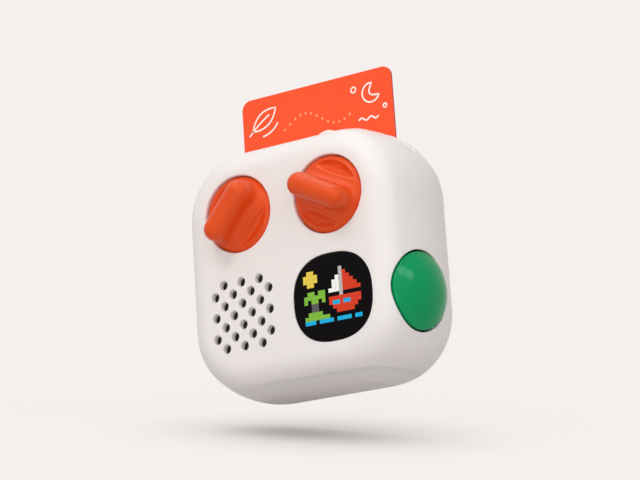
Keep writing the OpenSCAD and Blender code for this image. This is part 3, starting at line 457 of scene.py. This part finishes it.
material("ferrite_dark", srgb(44, 44, 48), 0.6, tone=0.2, tone_scale=600)
material("chip_black", srgb(26, 26, 28), 0.45, tone=0.1, grain=0.3)
material("cell_foil", srgb(188, 190, 194), 0.3, metallic=0.9, tone=0.06, grain=0.3, grain_scale=900)
material("lead_red", srgb(190, 28, 34), 0.4, tone=0.05)
material("lead_black", srgb(26, 26, 28), 0.4, tone=0.08)
material("cable_film", srgb(176, 118, 48), 0.3, tone=0.08, coat=0.3)


def finish_nodes():
    """Each CAD node gets the procedural finish of its material slot."""
    slots = {part["node"]: part["material_slot"] for part in frame["record"]["subparts"]}
    for name, obj in frame["nodes"].items():
        mat = FINISH[slots[name]]
        if not obj.material_slots:
            obj.data.materials.append(mat)
        for slot in obj.material_slots:
            slot.material = mat


def dress(obj, mat, body, replaces=()):
    """Gives a piece its material, hangs it on the empty of the body it rides on and hides the CAD nodes it
    stands for.
    """
    obj.data.materials.clear()
    obj.data.materials.append(mat)
    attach(obj, body)
    if replaces:
        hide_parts(*replaces)
    return obj


finish_nodes()

# ---------------------------------------------------------------- camera
# its own axes, and its place in mm
CAM_RIGHT = Vector((0.83080704, 0.55286214, -0.06405552))
CAM_UP = Vector((0.18005081, -0.15808245, 0.97087159))
CAM_BACK = Vector((0.52663209, -0.8181402, -0.23087929))
CAM_AT = Vector((357.04234094, -553.707271, -109.89707312)) * MM

SENSOR_W, FOCAL, NEAREST, FARTHEST = 36.0, 128.826, 0.01, 20.0

lens = bpy.data.cameras.new("camera")
lens.sensor_fit, lens.sensor_width, lens.lens = "HORIZONTAL", SENSOR_W, FOCAL
lens.clip_start, lens.clip_end = NEAREST, FARTHEST
camera = add_object("camera", lens)
axes = Matrix((CAM_RIGHT, CAM_UP, CAM_BACK)).transposed().to_4x4()
camera.matrix_world = Matrix.Translation(CAM_AT) @ axes
bpy.context.scene.camera = camera


def from_camera(right, up, back):
    """A direction given along the camera's own axes."""
    return (CAM_RIGHT * right + CAM_UP * up + CAM_BACK * back).normalized()


# ---------------------------------------------------------------- body shell
def recess_cut(n=8):
    """The material taken out in front of the card slot: a zone across the top, less the form moved in."""
    y, z = RECESS_FRONT + RECESS_R, RECESS_LOW + RECESS_R
    outline = [(RECESS_FRONT, ABOVE)]
    outline += [(y - RECESS_R * math.cos(t), z - RECESS_R * math.sin(t))
                for t in (math.pi / 2 * i / n for i in range(n + 1))]
    outline += [(RECESS_BACK, RECESS_LOW), (RECESS_BACK, ABOVE)]
    zone = outward(loft("zone", [[(x, y, z) for y, z in outline] for x in (-PAST, PAST)]))
    return boolean(zone, form("recess_form", RECESS_D))


def squircle(grow, n=144):
    """The display's outline in XZ, made larger by grow on each side."""
    def along(half, c):
        return (half + grow) * math.copysign(abs(c) ** (2 / SQUIRCLE), c)
    return [(DISPLAY_X + along(DISPLAY_W / 2, math.cos(t)), DISPLAY_Z + along(DISPLAY_H / 2, math.sin(t)))
            for t in turn_points(n)]


def display_loft(name, steps):
    """Solid through the display's outline; each step is (growth, depth behind the panel's face)."""
    return outward(loft(name, [[(x, FRONT_Y + depth, z) for x, z in squircle(grow)]
                               for grow, depth in steps]))


def stadium_cut(name, length, width, place, ends, n=12):
    """Solid with a rounded-slot outline; place(u, v, end) puts its points, for each end of the solid."""
    rings = []
    for end in ends:
        rings.append([place(s * (length - width) / 2 + s * math.cos(a) * width / 2,
                            s * math.sin(a) * width / 2, end)
                      for s in (1, -1) for a in (-math.pi / 2 + math.pi * i / n for i in range(n + 1))])
    return outward(loft(name, rings))


def body_piece(whole, name, low, high):
    """The part of the body's form inside a box."""
    return boolean(add_object(name, whole.data.copy()), box("keep", low, high), "INTERSECT")


def hollow_out(piece):
    """Takes the inside of the body out of a piece and leaves the wall."""
    boolean(piece, form("inner", WALL, corner_n=16, edge_n=6, crown_n=6))


def recess_field(p):
    """The surface at the bottom of the recess."""
    return form_field(p, RECESS_D)


def cut_openings(piece):
    """Button hole, card slot and side openings, whose rims are rounded like the seams."""
    hole_r = BUTTON_R + BUTTON_GAP
    boolean(piece, revolve("button_hole", BUTTON_AT, BUTTON_WAY,
                           [(hole_r, BUTTON_HOLE_FROM), (hole_r, BUTTON_HOLE_TO)], n=96))
    boolean(piece, box("slot_cut", (-SLOT_HALF, CARD_Y - SLOT_T / 2, SLOT_LOW),
                       (SLOT_HALF, CARD_Y + SLOT_T / 2, ABOVE)))
    boolean(piece, revolve("jack_cut", (SIDE_OUT, JACK_Y, JACK_Z), (1, 0, 0),
                           [(JACK_R, 0), (JACK_R, SIDE_IN - SIDE_OUT)], n=40))
    boolean(piece, stadium_cut("usb_cut", USB_L, USB_W, lambda u, v, x: (x, USB_Y + v, USB_Z + u),
                               (SIDE_OUT, SIDE_IN)))


def cut_wells(piece):
    """A boss, a well and a bushing hole for each knob."""
    boss_profile = [(BOSS_R, BOSS_BACK), (BOSS_R, BOSS_FRONT)]
    well_profile = flare(WELL_R, WELL_D, WELL_ROUND, steps=8)
    bushing_profile = [(BUSHING_R, -BUSHING_D), (BUSHING_R, BUSHING_FRONT)]
    for x in (-KNOB_X, KNOB_X):
        boolean(piece, revolve("boss", (x, 0, KNOB_Z), FORWARD, boss_profile, n=96), "UNION")
        boolean(piece, revolve("well", (x, FRONT_Y, KNOB_Z), FORWARD, well_profile, n=96))
        boolean(piece, revolve("bushing_hole", (x, FRONT_Y, KNOB_Z), FORWARD, bushing_profile, n=40))


def cut_window(piece):
    """The display's opening."""
    profile = flare(DISPLAY_GAP, DISPLAY_D, DISPLAY_ROUND)
    boolean(piece, display_loft("display_cutter", [(grow, -height) for grow, height in profile]))


def cut_grille(piece):
    """The speaker's holes, on every other spot."""
    profile = flare(HOLE_R, HOLE_D, HOLE_ROUND, steps=4, draft=HOLE_DRAFT)
    steps = range(-HOLE_REACH, HOLE_REACH + 1)
    holes = [revolve("hole", (GRILLE_X + i * HOLE_STEP, FRONT_Y, GRILLE_Z + j * HOLE_STEP), FORWARD,
                     profile, n=28) for i in steps for j in steps if (i + j) % 2]
    boolean(piece, join(holes, "grille_cutter"))


def cut_pockets(piece):
    """Pockets for the four screws in the back."""
    profile = flare(POCKET_R, POCKET_D, POCKET_ROUND)
    for x in (-REAR_SCREW_X, REAR_SCREW_X):
        for z in (MID_Z - REAR_SCREW_Z, MID_Z + REAR_SCREW_Z):
            boolean(piece, revolve("rear_pocket", (x, BODY_D / 2, z), (0, 1, 0), profile, n=40))


def foot_zone(name, gap):
    """The foot's rounded slot, wider by a gap all round."""
    return stadium_cut(name, FOOT_L + 2 * gap, FOOT_W + 2 * gap, lambda u, v, z: (u, v, z),
                       (FOOT_TOP, FOOT_PAST))


outer = form("outer")
boolean(outer, recess_cut())
shell = body_piece(outer, "shell_front", (-PAST, -PAST, BASE_SEAM), (PAST, REAR_SEAM_Y, ABOVE))
rear = body_piece(outer, "shell_rear", (-PAST, REAR_SEAM_Y, BELOW), (PAST, PAST, ABOVE))
base = body_piece(outer, "shell_base", (-PAST, -PAST, BELOW), (PAST, REAR_SEAM_Y, BASE_SEAM))
bpy.data.objects.remove(outer)

cut_openings(shell)
soften(shell, SEAM_ROUND)
hollow_out(shell)
cut_wells(shell)
cut_window(shell)
cut_grille(shell)
set_normals(shell, [form_field, recess_field])
dress(shell, WHITE, "housing", ["main_shell"])

soften(rear, SEAM_ROUND)
hollow_out(rear)
cut_pockets(rear)
set_normals(rear, [form_field, recess_field])
dress(rear, WHITE, "housing", ["rear_cover"])

soften(base, SEAM_ROUND)
boolean(base, foot_zone("foot_cut", FOOT_GAP))
set_normals(base, [form_field])
dress(base, WHITE, "housing", ["base_cover"])

foot = form("foot_pad")
boolean(foot, foot_zone("foot_keep", 0.0), "INTERSECT")
soften(foot, FOOT_ROUND)
set_normals(foot, [form_field])
dress(foot, FOOT, "housing", ["base_foot"])


# ---------------------------------------------------------------- surfaces found along rays
def smooth_min(a, b, k):
    """The smaller of two fields, which flow into each other over a width."""
    h = np.clip(0.5 + 0.5 * (b - a) / k, 0, 1)
    return b + (a - b) * h - k * h * (1 - h)


def smooth_max(a, b, k):
    """The larger of two fields, with the same flow."""
    return -smooth_min(-a, -b, k)


def gradient(field, p, eps=0.01):
    """The directions in which a field grows fastest, which are its surface's normals."""
    g = np.stack([field(p + eps * e) - field(p - eps * e) for e in np.eye(3)], -1)
    return g / np.maximum(np.linalg.norm(g, axis=-1, keepdims=True), 1e-12)


def crossing(field, start, way, reach=40.0, steps=44):
    """Where each ray from start leaves the inside of a field."""
    low, high = np.zeros(way.shape[:-1]), np.full(way.shape[:-1], reach)
    for _ in range(steps):
        mid = (low + high) / 2
        inside = field(start + way * mid[..., None]) < 0
        low, high = np.where(inside, mid, low), np.where(inside, high, mid)
    return start + way * low[..., None]


def fan(axes, widest, rings, sectors):
    """Rings of directions round an axis, out to an angle that may differ round it; axes are (u, v, axis)."""
    u, v, a = (np.array(w, float) for w in axes)
    turn = np.array(turn_points(sectors))
    ring = np.cos(turn)[:, None] * u + np.sin(turn)[:, None] * v
    polar = widest(ring) * (np.arange(1, rings + 1) / rings)[:, None]
    return np.cos(polar)[..., None] * a + np.sin(polar)[..., None] * ring


def skin(name, points, normals, apex, apex_normal, cap_normal):
    """Closed mesh from rings of points round an apex, with a flat cap on the last ring and given normals."""
    rings, n = points.shape[:2]
    verts = [tuple(apex)] + [tuple(p) for p in points.reshape(-1, 3)]
    faces = [[0, 1 + i, 1 + (i + 1) % n] for i in range(n)]
    for k in range(rings - 1):
        a, b = 1 + k * n, 1 + (k + 1) * n
        faces += [[a + i, b + i, b + (i + 1) % n, a + (i + 1) % n] for i in range(n)]
    faces.append([1 + (rings - 1) * n + i for i in range(n)][::-1])
    obj = new_object(name, verts, faces)
    mesh = obj.data
    if mesh.polygons[0].normal.dot(Vector(apex_normal)) < 0:
        mesh.flip_normals()
    out = np.concatenate([[apex_normal], normals.reshape(-1, 3)])[loop_vertices(mesh)]
    cap = mesh.polygons[len(mesh.polygons) - 1]
    out[cap.loop_start:cap.loop_start + cap.loop_total] = cap_normal
    give_normals(mesh, out)
    return obj


# ---------------------------------------------------------------- knobs
def knob_field(p):
    """Signed field of a knob in its own axes: along the grip, across it and out of the panel."""
    u, v, h = p[..., 0], p[..., 1], p[..., 2]
    r = np.hypot(u, v)
    past_crest = r - CREST_R
    crown = DOME_H * (1 - (r / CREST_R) ** 2)
    face = smooth_min(crown, (FACE_HALF - np.abs(v)) * FACE_SLOPE + FACE_H, FACE_BLEND)
    hollow = smooth_max(-HOLLOW_D, HOLLOW_SLOPE * past_crest, HOLLOW_BLEND)
    shoulder = -SHOULDER_SLOPE * past_crest - SHOULDER_BEND * np.maximum(past_crest, 0) ** 2
    top = smooth_min(smooth_max(face, hollow, TOP_BLEND), shoulder, SHOULDER_BLEND)
    disc = smooth_max(r - KNOB_R, h - top, RIM_BLEND)
    beyond_u = np.maximum(np.abs(u) - (CREST_R - GRIP_HALF), 0)
    beyond_h = np.maximum(h - (KNOB_H - GRIP_HALF), 0)
    grip = np.sqrt(beyond_u ** 2 + v ** 2 + beyond_h ** 2) - GRIP_HALF
    return smooth_min(disc, grip, GRIP_BLEND)


def knob(side, turn):
    """One knob, with its grip turned by an angle in degrees."""
    root = np.array([0, 0, KNOB_ROOT])
    way = fan(np.eye(3), lambda ring: math.atan2(KNOB_R, KNOB_SEAT - KNOB_ROOT), rings=130, sectors=240)
    p = crossing(knob_field, root, way)
    n = gradient(knob_field, p)
    c, s = math.cos(math.radians(turn)), math.sin(math.radians(turn))
    axes = np.array([[c, 0, s], [-s, 0, c], [0, -1, 0]])
    at = np.array([KNOB_X if side == "right" else -KNOB_X, FRONT_Y, KNOB_Z])
    apex = at + np.array([0, 0, KNOB_H]) @ axes
    obj = skin(side + "_knob_cap", at + p @ axes, n @ axes, apex, (0, -1, 0), (0, 1, 0))
    dress(obj, ORANGE, side + "_dial", [side + "_knob"])


for knob_side, knob_turn in KNOB_TURNS.items():
    knob(knob_side, knob_turn)


# ---------------------------------------------------------------- power button
def button_field(p):
    """Signed field of the button's cap: its round side cut by the dome or, where higher, the body's form."""
    side = np.linalg.norm(np.cross(p - np.array(BUTTON_AT), np.array(BUTTON_WAY)), axis=-1) - BUTTON_R
    dome = np.linalg.norm(p - np.array(DOME_AT), axis=-1) - DOME_R
    flat = form_field(p.reshape(-1, 3))[0].reshape(p.shape[:-1]) - BUTTON_PROUD
    return smooth_max(side, smooth_min(dome, flat, DOME_BLEND), BUTTON_BLEND)


def button():
    """The button's cap, found along rays from a point on its axis."""
    axes = frame_axes(BUTTON_WAY)
    a = np.array(axes[2])
    root = np.array(BUTTON_AT)

    def widest(ring):
        """Angle to the rim of the cap's back, which lies square to x."""
        return np.arctan2(BUTTON_R, (BUTTON_BACK - root[0] - BUTTON_R * ring[:, 0]) / a[0])

    p = crossing(button_field, root, fan(axes, widest, rings=70, sectors=160))
    n = gradient(button_field, p)
    apex = crossing(button_field, root, a[None, :])
    obj = skin("button_cap", p, n, apex[0], gradient(button_field, apex)[0], (-1, 0, 0))
    dress(obj, GREEN, "button", ["power_button"])


button()


# ---------------------------------------------------------------- display
def lens_steps(n=4):
    """Back, side and rounded front edge of the display's window."""
    steps = [(0.0, LENS_T), (0.0, LENS_EDGE)]
    for i in range(1, n + 1):
        t = math.pi / 2 * i / n
        steps.append((LENS_EDGE * (math.cos(t) - 1), LENS_EDGE * (1 - math.sin(t))))
    return steps


window = display_loft("display_lens", lens_steps())
set_normals(window, angle=30)
dress(window, GLASS, "housing", ["display_window"])

PICTURE = """
................
.YY.......S.....
YYYY......SR....
YYYY.....WSRR...
.YY.....WWSRRR..
........WWSRRRR.
.GG.GG.WWWSRRRRR
GGGGGG....S.....
G.GG.G.RRRRRRRRR
..DD...RBBRBBRRR
..DD....RRRRRRR.
.GGGG....RRRRR..
GGGGGGG.........
BBB.BBBB.BBBB.BB
""".split()
PICTURE_INKS = {"R": ("red", srgb(214, 58, 26)), "B": ("blue", srgb(16, 172, 222)),
                "G": ("green", srgb(124, 184, 60)), "Y": ("yellow", srgb(228, 202, 74)),
                "W": ("white", srgb(244, 242, 238)), "S": ("grey", srgb(188, 180, 176)),
                "D": ("dark_grey", srgb(92, 88, 88))}
# share of its colour that a lit cell reflects, and how strongly it glows
LIT_BASE, LIT_GLOW = 0.55, 0.9


def prism(verts, faces, outline, y_front, y_back):
    """Adds a flat raised shape, given by its outline in XZ, to a list of vertices and faces."""
    n, start = len(outline), len(verts)
    verts += [(x, y_front, z) for x, z in outline] + [(x, y_back, z) for x, z in outline]
    faces.append([start + i for i in range(n)])
    faces.append([start + n + i for i in range(n)][::-1])
    faces += [[start + i, start + n + i, start + n + (i + 1) % n, start + (i + 1) % n] for i in range(n)]


def picture_cells(ink, name, colour):
    """All lit cells of one colour, each a small raised square."""
    verts, faces = [], []
    half, middle = (PIXEL_STEP - PIXEL_GAP) / 2, (PIXELS - 1) / 2
    spots = [(row, col) for row, line in enumerate(PICTURE) for col, cell in enumerate(line) if cell == ink]
    for row, col in spots:
        x = DISPLAY_X + (col - middle) * PIXEL_STEP
        z = DISPLAY_Z + (middle - row) * PIXEL_STEP
        square = [(x - half, z - half), (x + half, z - half), (x + half, z + half), (x - half, z + half)]
        prism(verts, faces, square, FRONT_Y - PIXEL_PROUD, FRONT_Y + PIXEL_DEPTH)
    glow = material("pixel_" + name, scaled(colour, LIT_BASE), 0.25, tone_scale=500, emission=LIT_GLOW,
                    specular=0.2)
    dress(outward(new_object("picture_" + name, verts, faces)), glow, "housing")


for ink, (ink_name, ink_colour) in PICTURE_INKS.items():
    picture_cells(ink, ink_name, ink_colour)


# ---------------------------------------------------------------- card
def card_outline(grow, n=10):
    """The card's outline in XZ, made larger by grow on each side."""
    middle_z = CARD_LOW + CARD_L / 2
    corners = corner_points(CARD_W / 2 - CARD_R, CARD_L / 2 - CARD_R, n, CARD_R + grow)
    return [(x, middle_z + z) for x, z in corners]


def rounded_slab(name, outline, y0, y1, edge, steps=3):
    """Plate rounded along both its rims."""
    front = [(edge * (math.cos(t) - 1), edge * (1 - math.sin(t)))
             for t in (math.pi / 2 * (1 - i / steps) for i in range(steps + 1))]
    rings = [[(x, y0 + depth, z) for x, z in outline(grow)] for grow, depth in front]
    rings += [[(x, y1 - depth, z) for x, z in outline(grow)] for grow, depth in front[::-1]]
    return outward(loft(name, rings))


# faces that look less than this toward the front or back belong to the card's edge
EDGE_SLANT = 0.5
card = rounded_slab("card_body", card_outline, CARD_Y - CARD_T / 2, CARD_Y + CARD_T / 2, CARD_ROUND)
set_normals(card, angle=35)
dress(card, CARD, "card", ["story_card"])
# the edge faces take the darker red, painted shade
card.data.materials.append(EDGE_SHADE)
for polygon in card.data.polygons:
    if abs(polygon.normal.y) < EDGE_SLANT:
        polygon.material_index = 1


def stroke(verts, faces, path, width, closed=False, caps=6):
    """Adds a raised line of even width along a path in XZ, with round ends unless it is closed."""
    p = [Vector(q) for q in path]
    n = len(p)
    left, right = [], []
    for i in range(n):
        a = p[(i - 1) % n] if closed else p[max(i - 1, 0)]
        b = p[(i + 1) % n] if closed else p[min(i + 1, n - 1)]
        d = (b - a).normalized()
        side = Vector((-d.y, d.x)) * width / 2
        left.append(p[i] + side)
        right.append(p[i] - side)
    if closed:
        start = len(verts)
        for row, y in ((left, PRINT_FRONT), (right, PRINT_FRONT), (right, PRINT_BACK), (left, PRINT_BACK)):
            verts += [(q.x, y, q.y) for q in row]
        for k in range(4):
            a, b = start + k * n, start + (k + 1) % 4 * n
            faces += [[a + i, a + (i + 1) % n, b + (i + 1) % n, b + i] for i in range(n)]
        return
    ends = []
    for at, first in ((p[-1], left[-1]), (p[0], right[0])):
        arm = first - at
        for i in range(1, caps):
            c, s = math.cos(math.pi * i / caps), -math.sin(math.pi * i / caps)
            ends.append(at + Vector((arm.x * c - arm.y * s, arm.x * s + arm.y * c)))
    outline = left + ends[:caps - 1] + right[::-1] + ends[caps - 1:]
    prism(verts, faces, [(q.x, q.y) for q in outline], PRINT_FRONT, PRINT_BACK)


def bow(a, b, lift, n=12):
    """Points along a gentle arc from a to b that rises by lift at its middle."""
    a, b = Vector(a), Vector(b)
    side = Vector((a.y - b.y, b.x - a.x)).normalized()
    return [tuple(a.lerp(b, i / n) + side * lift * 4 * (i / n) * (1 - i / n)) for i in range(n + 1)]


def arc(middle, r, start, end, n):
    """Points along a circle from one angle in degrees to another."""
    angles = (math.radians(start + (end - start) * i / n) for i in range(n + 1))
    return [(middle[0] + r * math.cos(a), middle[1] + r * math.sin(a)) for a in angles]


def circle(middle, r, n):
    """Points evenly round a circle."""
    return [(middle[0] + r * math.cos(t), middle[1] + r * math.sin(t)) for t in turn_points(n)]


# the card's drawing, in mm, with its places as (x, z), and the widths of its lines
LINE_W, THIN_W = 0.5, 0.45
LEAF_TAIL, LEAF_TIP, LEAF_BULGE = (-23.4, 85.4), (-14.6, 91.4), 2.3
# the leaf's vein and a short line under it: start, end and rise
TWIGS = (((-24.6, 84.2), (-17.2, 89.6), 0.3), ((-19.6, 83.2), (-14.2, 86.4), -0.7))
# the moon: middle, radius, the way its open side looks and half that side's width, both in degrees, and
# the rise of its inner curve as a share of the radius
MOON, MOON_R, MOON_TURN, MOON_OPEN, MOON_HOLLOW = (19.6, 88.6), 3.0, 30, 50, 0.8
# the rings beside it: middle, radius and points
RINGS = (((13.6, 90.6), 0.85, 20), ((24.2, 83.6), 0.6, 16))
WAVE_X, WAVE_Z, WAVE_SPAN, WAVE_H, WAVE_COUNT, WAVE_STEPS = 15.0, 80.9, 6.6, 0.45, 2, 24
# the cloud's puffs: middle, radius and the angles in degrees between which each shows
PUFFS = (((-6.0, 71.8), 5.4, 215, 75), ((3.2, 74.7), 5.6, 160, 40), ((11.2, 73.4), 5.4, 110, -30),
         ((14.8, 66.8), 4.0, 60, -50))
CLOUD_LEFT, CLOUD_RIGHT, CLOUD_LOW = -9.0, 15.0, 62.0
# pairs of hills: heights on the card, how far the first pair's ends are from the middle, how much lower the
# second hill of a pair starts, what each next pair loses at its ends, and how high the hills rise
HILL_ROWS, HILL_FAR, HILL_NEAR, HILL_DROP = (44.0, 33.0, 22.0), 19.0, 2.0, 3.0
LOSE_FAR, LOSE_NEAR, TALL_RISE, LOW_RISE = 3.0, 2.0, 4.6, 3.6
BEAD_R, BEAD_COUNT, BEAD_X, BEAD_SPAN, BEAD_Z, BEAD_WAVE, BEAD_PHASE = 0.42, 13, -11.6, 23.4, 84.6, 2.6, 0.4


def crescent(n=16):
    """Outline of the moon: a wide arc and a shallower one back."""
    wide = arc(MOON, MOON_R, MOON_TURN + MOON_OPEN, MOON_TURN + 360 - MOON_OPEN, n)
    return wide + bow(wide[-1], wide[0], MOON_HOLLOW * MOON_R, n)[1:-1]


def card_lines():
    """The card's line drawing, whose cloud is filled and shows its top above the slot."""
    verts, faces = [], []
    leaf = bow(LEAF_TAIL, LEAF_TIP, LEAF_BULGE, 14) + bow(LEAF_TIP, LEAF_TAIL, LEAF_BULGE, 14)[1:-1]
    stroke(verts, faces, leaf, LINE_W, closed=True)
    for start, end, rise in TWIGS:
        stroke(verts, faces, bow(start, end, rise), LINE_W)
    stroke(verts, faces, crescent(), LINE_W, closed=True)
    for middle, r, points in RINGS:
        stroke(verts, faces, circle(middle, r, points), THIN_W, closed=True)
    wave = [(WAVE_X + WAVE_SPAN * t, WAVE_Z + WAVE_H * math.sin(2 * math.pi * WAVE_COUNT * t))
            for t in (i / WAVE_STEPS for i in range(WAVE_STEPS + 1))]
    stroke(verts, faces, wave, LINE_W)
    cloud = [point for middle, r, start, end in PUFFS for point in arc(middle, r, start, end, 14)]
    cloud += [(CLOUD_RIGHT, CLOUD_LOW), (CLOUD_LEFT, CLOUD_LOW)]
    prism(verts, faces, cloud, PRINT_FRONT, PRINT_BACK)
    for k, z in enumerate(HILL_ROWS):
        far, near = HILL_FAR - LOSE_FAR * k, HILL_NEAR - LOSE_NEAR * k
        stroke(verts, faces, bow((-far, z), (near, z), TALL_RISE, 20), LINE_W)
        stroke(verts, faces, bow((-near, z - HILL_DROP), (far, z - HILL_DROP), LOW_RISE, 20), LINE_W)
    return verts, faces


def card_beads():
    """Dots along a gentle wave."""
    verts, faces = [], []
    for t in (i / (BEAD_COUNT - 1) for i in range(BEAD_COUNT)):
        place = (BEAD_X + BEAD_SPAN * t, BEAD_Z + BEAD_WAVE * math.sin(2 * math.pi * t - BEAD_PHASE))
        prism(verts, faces, circle(place, BEAD_R, 14), PRINT_FRONT, PRINT_BACK)
    return verts, faces


dress(outward(new_object("card_lines", *card_lines())), PRINT, "card")
dress(outward(new_object("card_beads", *card_beads())), BEADS, "card")

# ---------------------------------------------------------------- light
BACK_COLOUR = srgb(245, 240, 237)
# light from all round, which is dimmer to the right of the object and behind it, as the camera sees it
SKY_TINT = (1.0, 0.99, 0.98)
AMBIENT, AMBIENT_DIM = 0.515, 0.206
DIM_SIDE, DIM_FROM, DIM_TO = (0.85, 0.0, -0.53), -0.1, 0.9
# each lamp: direction (right, up, back) in the camera's axes, strength, angle in degrees
LAMPS = [((0, 0, 1), 0.48, 40), ((0.6, 0.3, 0.75), 0.084, 40), ((0, 0.7, 0.7), 0.194, 40),
         ((-0.5, 0.8, 0.3), 0.264, 30), ((-0.185, 0.943, -0.28), 0.32, 16), ((0.66, 0.59, 0.47), 0.3, 16),
         ((0.1, -0.8, 0.5), 0.16, 40), ((-0.7, -0.3, 0.6), 0.2, 40), ((-0.3, 0.85, 0.45), 0.55, 18),
         ((0.3, 0.6, 0.75), 0.19, 25)]
LAMP_AWAY = 0.6


def direct_ray(tree):
    """1 for a ray that sees the background's own colour, 0 for one that gathers light."""
    path = add_node(tree, "LightPath")
    seen = math_of(tree, "MAXIMUM", path.outputs["Is Camera Ray"], path.outputs["Is Glossy Ray"])
    return math_of(tree, "MAXIMUM", seen, path.outputs["Is Transmission Ray"])


def light_world():
    """Soft light from all round, and the background's own colour where it is seen."""
    world = bpy.data.worlds.new("world")
    bpy.context.scene.world = world
    world.use_nodes = True
    tree = world.node_tree
    toward = add_node(tree, "VectorMath", add_node(tree, "TexCoord").outputs["Generated"],
                      tuple(from_camera(*DIM_SIDE)), operation="DOT_PRODUCT")
    dim = add_node(tree, "MapRange", interpolation_type="SMOOTHSTEP", Value=toward.outputs["Value"],
                   From_Min=DIM_FROM, From_Max=DIM_TO)
    sky = add_node(tree, "Mix", data_type="RGBA", Factor=dim.outputs["Result"], A=scaled(SKY_TINT, AMBIENT),
                   B=scaled(SKY_TINT, AMBIENT_DIM))
    shown = add_node(tree, "Mix", data_type="RGBA", Factor=direct_ray(tree), A=sky.outputs["Result"],
                     B=BACK_COLOUR)
    tree.links.new(shown.outputs["Result"], tree.nodes["Background"].inputs["Color"])


def lamp(name, direction, strength, angle):
    """A sun lamp that shines from a direction, with its width in degrees."""
    data = bpy.data.lights.new(name, "SUN")
    data.energy, data.angle = strength, math.radians(angle)
    obj = add_object(name, data)
    obj.rotation_mode = "QUATERNION"
    obj.rotation_quaternion = direction.to_track_quat("Z", "Y")
    obj.location = direction * LAMP_AWAY


light_world()
for number, (way, strength, spread) in enumerate(LAMPS):
    lamp("lamp_%02d" % number, from_camera(*way), strength, spread)

# ---------------------------------------------------------------- stage
# the angle at which the camera looks down on the floor, in degrees, and in metres how far the floor is
# below the body, how wide it reaches and between which distances it fades out
FLOOR_TILT, FLOOR_GAP, FLOOR_R = 2.2, 7.6 * MM, 0.6
FADE_FROM, FADE_TO = 0.14, 0.5
# the painted shadow under the object, made from ambient occlusion: how far it reaches in metres, how it falls
# off and how deep it is
SHADE_REACH, SHADE_POWER, SHADE_DEPTH = 0.042, 1.6, 0.98
# share of the floor's colour that comes from the lamps, and the level they give there
LAMP_SHARE, FLOOR_LIGHT = 0.08, 0.93
# the floor's colour for light that bounces off it onto the object
FLOOR_BOUNCE = (0.6, 0.58, 0.57, 1)


def floor_material(middle):
    """Pale floor: the background's colour where it is seen, with a painted shadow where the object stands
    over it, made by darkening its glow by ambient occlusion; a small share of its colour is lit by the lamps
    and keeps their real shadows. It fades out away from its middle and doesn't show from below."""
    mat = bpy.data.materials.new("floor")
    mat.use_nodes = True
    tree = mat.node_tree
    tree.nodes.remove(tree.nodes["Principled BSDF"])
    # painted shadow: the floor's glow is darkened where ambient occlusion finds the object over it
    open_sky = add_node(tree, "AmbientOcclusion", samples=24, Distance=SHADE_REACH).outputs["AO"]
    covered = math_of(tree, "POWER", math_of(tree, "SUBTRACT", 1.0, open_sky), SHADE_POWER)
    light = math_of(tree, "SUBTRACT", 1.0, math_of(tree, "MULTIPLY", covered, SHADE_DEPTH))
    glow = add_node(tree, "Emission", Color=scaled(BACK_COLOUR, 1 - LAMP_SHARE), Strength=light)
    lit = add_node(tree, "BsdfDiffuse", Color=scaled(BACK_COLOUR, LAMP_SHARE / FLOOR_LIGHT))
    seen = add_node(tree, "AddShader", glow.outputs[0], lit.outputs[0])
    bounce = add_node(tree, "BsdfDiffuse", Color=FLOOR_BOUNCE)
    surface = add_node(tree, "MixShader", direct_ray(tree), bounce.outputs[0], seen.outputs[0])
    place = add_node(tree, "NewGeometry")
    away = add_node(tree, "VectorMath", place.outputs["Position"], tuple(middle), operation="DISTANCE")
    fade = add_node(tree, "MapRange", interpolation_type="SMOOTHSTEP", Value=away.outputs["Value"],
                    From_Min=FADE_FROM, From_Max=FADE_TO)
    hidden = math_of(tree, "MAXIMUM", fade.outputs["Result"], place.outputs["Backfacing"])
    clear = add_node(tree, "BsdfTransparent")
    shown = add_node(tree, "MixShader", hidden, surface.outputs[0], clear.outputs[0])
    tree.links.new(shown.outputs[0], tree.nodes["Material Output"].inputs["Surface"])
    return mat


def add_floor(n=96):
    """A round floor, nearly edge-on to the camera, a little below the body's lowest point."""
    tilt = math.radians(FLOOR_TILT)
    up = (CAM_UP * math.cos(tilt) + CAM_BACK * math.sin(tilt)).normalized()
    level = min(v.co.dot(up) for piece in (shell, base) for v in piece.data.vertices) - FLOOR_GAP
    centre = Vector((0, 0, MID_Z * MM))
    middle = centre + up * (level - centre.dot(up))
    across = up.cross(CAM_RIGHT).normalized()
    ring = [middle + (CAM_RIGHT * math.cos(t) + across * math.sin(t)) * FLOOR_R for t in turn_points(n)]
    floor = new_object("floor", ring, [range(n)], scale=1)
    if floor.data.polygons[0].normal.dot(up) < 0:
        floor.data.flip_normals()
    floor.data.materials.append(floor_material(middle))


add_floor()

bpy.context.scene.view_settings.view_transform = "Standard"
